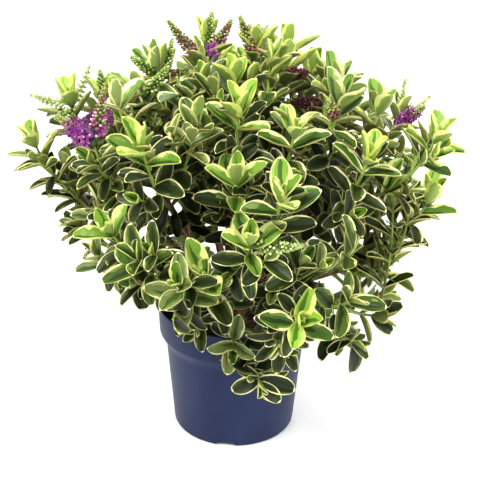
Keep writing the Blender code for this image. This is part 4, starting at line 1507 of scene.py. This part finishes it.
def build_racemes(shoots):
    """The racemes: combs of young buds, dense green, brown and maroon ones, and ones with open flowers."""
    slot = {name: n for n, name in enumerate(BLOSSOM_COLOURS)}
    colours = {name: srgb(colour) for name, colour in BLOSSOM_COLOURS.items()}
    materials = [plain_material(name, colour, BLOSSOM_ROUGHNESS) for name, colour in colours.items()]
    heap = Heap()
    bud, bud_faces = bud_shape()
    flower, flower_faces, flower_kinds = flower_shape()
    for raceme in RACEMES:
        stage = STAGES[raceme.stage]
        line = raceme_line(shoots, raceme)
        add_core(heap, stage, line, slot[CORES.get(raceme.stage, "green core")])
        buds, flowers = raceme_blossoms(raceme, line)
        slots = []
        for blossom in buds:
            place = min(0.999, max(0, blossom.share + (blossom.chance - 0.5) * BUD_MIXING))
            slots.append(slot[stage.colours[int(place * len(stage.colours))]])
        points, faces = stamp(bud, bud_faces, buds, stage.bud_radius * MM, stage.bud_length * MM)
        heap.add(points, faces, np.repeat(slots, len(bud_faces)))
        if flowers:
            slots = []
            for blossom in flowers:
                petal = PETAL_COLOURS[int(blossom.chance / OPEN_CHANCE * PETAL_SPAN)]
                slots.append(np.array([slot[petal], slot["stamen"], slot["anther"]])[flower_kinds])
            points, faces = stamp(flower, flower_faces, flowers, FLOWER_SIZE, FLOWER_SIZE)
            heap.add(points, faces, np.concatenate(slots))
    dress(heap.build("racemes", materials))


def bark_relief(point, out, radius):
    """Ridges that run with the limb, broken by the rings of old leaf scars."""
    place = [c * RIDGES_ROUND for c in out]
    place[2] += point.z * RIDGES_ALONG
    ridge = noise.noise(Vector(place) + point * RIDGES_APART)
    fine = noise.noise((point + out * radius) * GRAIN_SCALE)
    off_scar = (point.length * 1000) % SCAR_SPACING - SCAR_SPACING / 2
    scar = math.exp(-(off_scar**2) / SCAR_WIDTH)
    return radius * (BARK_RIDGES * ridge + BARK_GRAIN * fine + BARK_SCARS * scar)


def stem_radius(z):
    """The stem's radius at height z, above its flare."""
    low = SOIL_TOP + GAP
    share = min(1, max(0, (z - low) / (STEM_TOP - low)))
    return STEM_RADIUS + (STEM_TOP_RADIUS - STEM_RADIUS) * share


def bough_points(mass):
    """The control points of a bough, from the stem's face to its mass's own stem."""
    level = Vector((mass.axis.x, mass.axis.y, 0)).normalized()
    tier = mass.ring.tier
    if tier >= STEM_TOP:
        foot = level * TOP_FOOT_RADIUS + Vector((0, 0, STEM_TOP + GAP))
        leave = Vector((0, 0, 1))
    else:
        leave = (level + Vector((0, 0, max(BOUGH_LEAST_CLIMB, mass.axis.z * BOUGH_CLIMB)))).normalized()
        foot = level * (stem_radius(tier) + GAP + BOUGH_FOOT_RADIUS * leave.z) + Vector((0, 0, tier))
    pull = (mass.start - foot).length * BOUGH_PULL
    return (foot - leave * BOUGH_DEPTH, foot + leave * pull, mass.start - mass.axis * pull, mass.start)


def add_stem(heap):
    """The stem, from its flare in the compost to its domed top."""
    low = SOIL_TOP - STEM_DEPTH
    points, radii = [], []
    for i in range(STEM_RINGS + 1):
        z = low + (STEM_TOP - low) * i / STEM_RINGS
        flare = (STEM_FOOT_RADIUS - STEM_RADIUS) * max(0, 1 - (z - low) / STEM_FLARE) ** 2
        points.append(Vector((0, 0, z)))
        radii.append(stem_radius(z) + flare)
    for shrink, lift in STEM_DOME:
        points.append(Vector((0, 0, STEM_TOP + lift)))
        radii.append(STEM_TOP_RADIUS * shrink)
    verts, faces, _ = tube(points, radii, STEM_SIDES, bark_relief)
    heap.add(verts, faces, 0)


def build_bark(masses):
    """The stem, the boughs and each mass's own stem, with the relief of their bark."""
    heap = Heap()
    add_stem(heap)
    for mass in masses:
        run = mass.reach * (mass.ring.fork + FORK_SPAN + STEM_PAST_FORK - BOUGH_SHARE)
        limb = path(bough_points(mass), BOUGH_STEPS)
        limb += [mass.start + mass.axis * (run * i / RUN_STEPS) for i in range(1, RUN_STEPS + 1)]
        radii = []
        for i in range(len(limb)):
            radii.append(BOUGH_FOOT_RADIUS + (BOUGH_TIP_RADIUS - BOUGH_FOOT_RADIUS) * min(1, i / BOUGH_STEPS))
        verts, faces, _ = tube(limb, radii, BOUGH_SIDES, bark_relief)
        heap.add(verts, faces, 0)
    bark = patterned_material("bark", BARK_COLOURS, 260, 0.85, (0.5, 0.0006), stretch=(1, 1, 0.3))
    piece = dress(heap.build("stem_and_boughs", [bark]))
    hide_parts("stem", *[f"bough_{mass.name}" for mass in masses])


def fillet(corners, steps=5):
    """An outline from (radius, height, round) corners, each rounded over its own size."""
    found = []
    last = len(corners) - 1
    for i, (x, y, size) in enumerate(corners):
        if size == 0 or i in (0, last):
            found.append((x, y))
            continue
        here = Vector((x, y))
        before = Vector(corners[i - 1][:2]) - here
        after = Vector(corners[i + 1][:2]) - here
        a = here + before.normalized() * min(size, before.length * ROUND_LIMIT)
        b = here + after.normalized() * min(size, after.length * ROUND_LIMIT)
        for n in range(steps + 1):
            t = n / steps
            p = a * (1 - t) ** 2 + here * (2 * t * (1 - t)) + b * t**2
            found.append((p.x, p.y))
    return found


def turned(profile, sides):
    """Points and faces of a solid turned round the Z axis from a profile that runs from axis to axis."""
    points, rows = [], []
    for radius, z in profile:
        count = sides if radius else 1
        rows.append([len(points) + s % count for s in range(sides)])
        points += circle(radius, z, count)
    faces = []
    for low, high in zip(rows, rows[1:]):
        for s in range(sides):
            n = (s + 1) % sides
            corners = tuple(dict.fromkeys((low[s], low[n], high[n], high[s])))
            faces.append(corners[::-1] + (-1,) * (4 - len(corners)))
    return points, faces


def pot_inner_radius(z):
    """The inner radius of the pot's wall at height z."""
    return WALL_FOOT_RADIUS + (WALL_TOP_RADIUS - WALL_FOOT_RADIUS) * z / STEP_FOOT - WALL


def notch_cutter(azimuth):
    """A bar with sloping sides that runs outward through the foot ring."""
    below = -0.002
    foot = (NOTCH_FOOT_WIDTH + (NOTCH_FOOT_WIDTH - NOTCH_TOP_WIDTH) / NOTCH_HEIGHT * -below) / 2
    top = NOTCH_TOP_WIDTH / 2
    corner = 0.0012
    shoulder = (top + corner * 0.6, NOTCH_HEIGHT - corner)
    half = ((foot, below), shoulder, (top - corner, NOTCH_HEIGHT))
    section = [(-foot, below), *half, *[(-y, z) for y, z in half[:0:-1]]]
    count = len(section)
    verts = [(x, y, z) for x in (FOOT_RING_INNER - 0.001, RIM_RADIUS) for y, z in section]
    faces = [tuple(reversed(range(count))), tuple(range(count, 2 * count))]
    faces += [(s, (s + 1) % count, (s + 1) % count + count, s + count) for s in range(count)]
    mesh = bpy.data.meshes.new("notch")
    mesh.from_pydata(verts, [], faces)
    mesh.transform(rotation(azimuth, "Z"))
    return new_object("notch", mesh)


def build_pot():
    """The turned shell with rounded corners, its foot ring cut through by notches."""
    lip = WALL * 0.5
    corners = (
        (0, 0, 0),
        (CENTRE_PAD_RADIUS, 0, 0.0008),
        (CENTRE_PAD_RADIUS, FLOOR_RISE, 0.0008),
        (FOOT_RING_INNER, FLOOR_RISE, 0.0008),
        (FOOT_RING_INNER, 0, 0.0006),
        (WALL_FOOT_RADIUS, 0, FOOT_ROUND),
        (WALL_TOP_RADIUS, STEP_FOOT, 0.0042),
        (RIM_RADIUS - BAND_DRAFT, BAND_FOOT, 0.0022),
        (RIM_RADIUS, POT_HEIGHT, lip),
        (RIM_RADIUS - WALL, POT_HEIGHT, lip),
        (RIM_RADIUS - BAND_DRAFT - WALL, BAND_FOOT, 0.0016),
        (WALL_TOP_RADIUS - WALL, STEP_FOOT, 0.0022),
        (pot_inner_radius(FLOOR_TOP), FLOOR_TOP, 0.0012),
        (0, FLOOR_TOP, 0),
    )
    heap = Heap()
    heap.add(*turned(fillet(corners), POT_SIDES), 0)
    pot = heap.build("pot_shell", [pot_material()])
    cutters = [notch_cutter(NOTCH_AZIMUTH + 360 * i / NOTCHES) for i in range(NOTCHES)]
    for cutter in cutters:
        cut = pot.modifiers.new("notch", "BOOLEAN")
        cut.operation = "DIFFERENCE"
        cut.object = cutter
    seen = pot.evaluated_get(bpy.context.evaluated_depsgraph_get())
    shape = bpy.data.meshes.new_from_object(seen)
    pot.modifiers.clear()
    pot.data = shape
    for cutter in cutters:
        bpy.data.objects.remove(cutter)
    shape.shade_smooth()
    shape.set_sharp_from_angle(angle=math.radians(POT_SMOOTH_ANGLE))
    dress(pot)
    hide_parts("pot")


def pot_material():
    relief = (0.10, 0.0002)
    return patterned_material("pot plastic", POT_COLOURS, 34, 0.46, relief, 3.0, (1, 1, 0.5), POT_SPECULAR)


def soil_height(share):
    """The compost's even height at that share of its radius."""
    return SOIL_TOP - SOIL_EDGE_FALL * share * share


def build_compost():
    """The compost's rough top, closed below, with crumbs and bits of perlite on it."""
    edge = RIM_RADIUS - BAND_DRAFT - WALL - GAP
    foot = FLOOR_TOP + GAP
    profile = [(0, foot)]
    profile += [(pot_inner_radius(z) - GAP, z) for z in (foot, STEP_FOOT)]
    profile.append((edge, BAND_FOOT + GAP))
    for i in range(SOIL_RINGS):
        share = 1 - i / SOIL_RINGS
        profile.append((edge * share, soil_height(share)))
    profile.append((0, SOIL_TOP))
    points, faces = turned(profile, SOIL_SIDES)
    rough = []
    for x, y, z in points:
        if z > BAND_FOOT + 2 * GAP:
            place = Vector((x, y, z))
            z += sum(height * noise.noise(place * scale) for height, scale in SOIL_BUMPS)
        rough.append((x, y, z))
    heap = Heap()
    heap.add(rough, faces, 0)
    rng = random.Random("crumbs")
    for _ in range(CRUMBS):
        radius = edge * math.sqrt(rng.random()) * CRUMB_REACH
        if radius < STEM_RADIUS:
            continue
        a = rng.uniform(0, 2 * math.pi)
        size = rng.uniform(*CRUMB_SIZES)
        z = soil_height(radius / edge) + size * CRUMB_LIFT
        place = Vector((radius * math.cos(a), radius * math.sin(a), z))
        heap.add(*crumb(rng, place, size))
    earth = patterned_material("compost", COMPOST_COLOURS, 420, 0.95, (0.8, 0.0008))
    chip = plain_material("bark chip", srgb(CHIP_COLOUR), CRUMB_ROUGHNESS)
    perlite = plain_material("perlite", srgb(PERLITE_COLOUR), CRUMB_ROUGHNESS)
    piece = dress(heap.build("compost_top", [earth, chip, perlite]))
    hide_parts("soil")


def crumb(rng, place, size):
    """One lump with uneven corners: its points, faces and material."""
    corners = []
    for sign in (-1, 1):
        for axis in range(3):
            corner = [rng.uniform(-CRUMB_JITTER, CRUMB_JITTER) for _ in range(3)]
            corner[axis] = sign * rng.uniform(*CRUMB_CORNERS)
            corners.append(place + Vector(corner) * size)
    faces = []
    for x in (0, 3):
        for y in (1, 4):
            for z in (2, 5):
                odd = (x == 3) + (y == 4) + (z == 5)
                faces.append((x, y, z, -1) if odd % 2 == 1 else (x, z, y, -1))
    kind = rng.random()
    return corners, faces, 2 if kind > PERLITE_FROM else 1 if kind > CHIP_FROM else 0


def main():
    camera = make_camera()
    make_studio()
    masses = grow_masses()
    shoots = grow_shoots(masses)
    leaves = grow_leaves(shoots, camera)
    build_leaves(leaves, masses)
    build_twigs(shoots)
    build_racemes(shoots)
    build_bark(masses)
    build_pot()
    build_compost()


main()
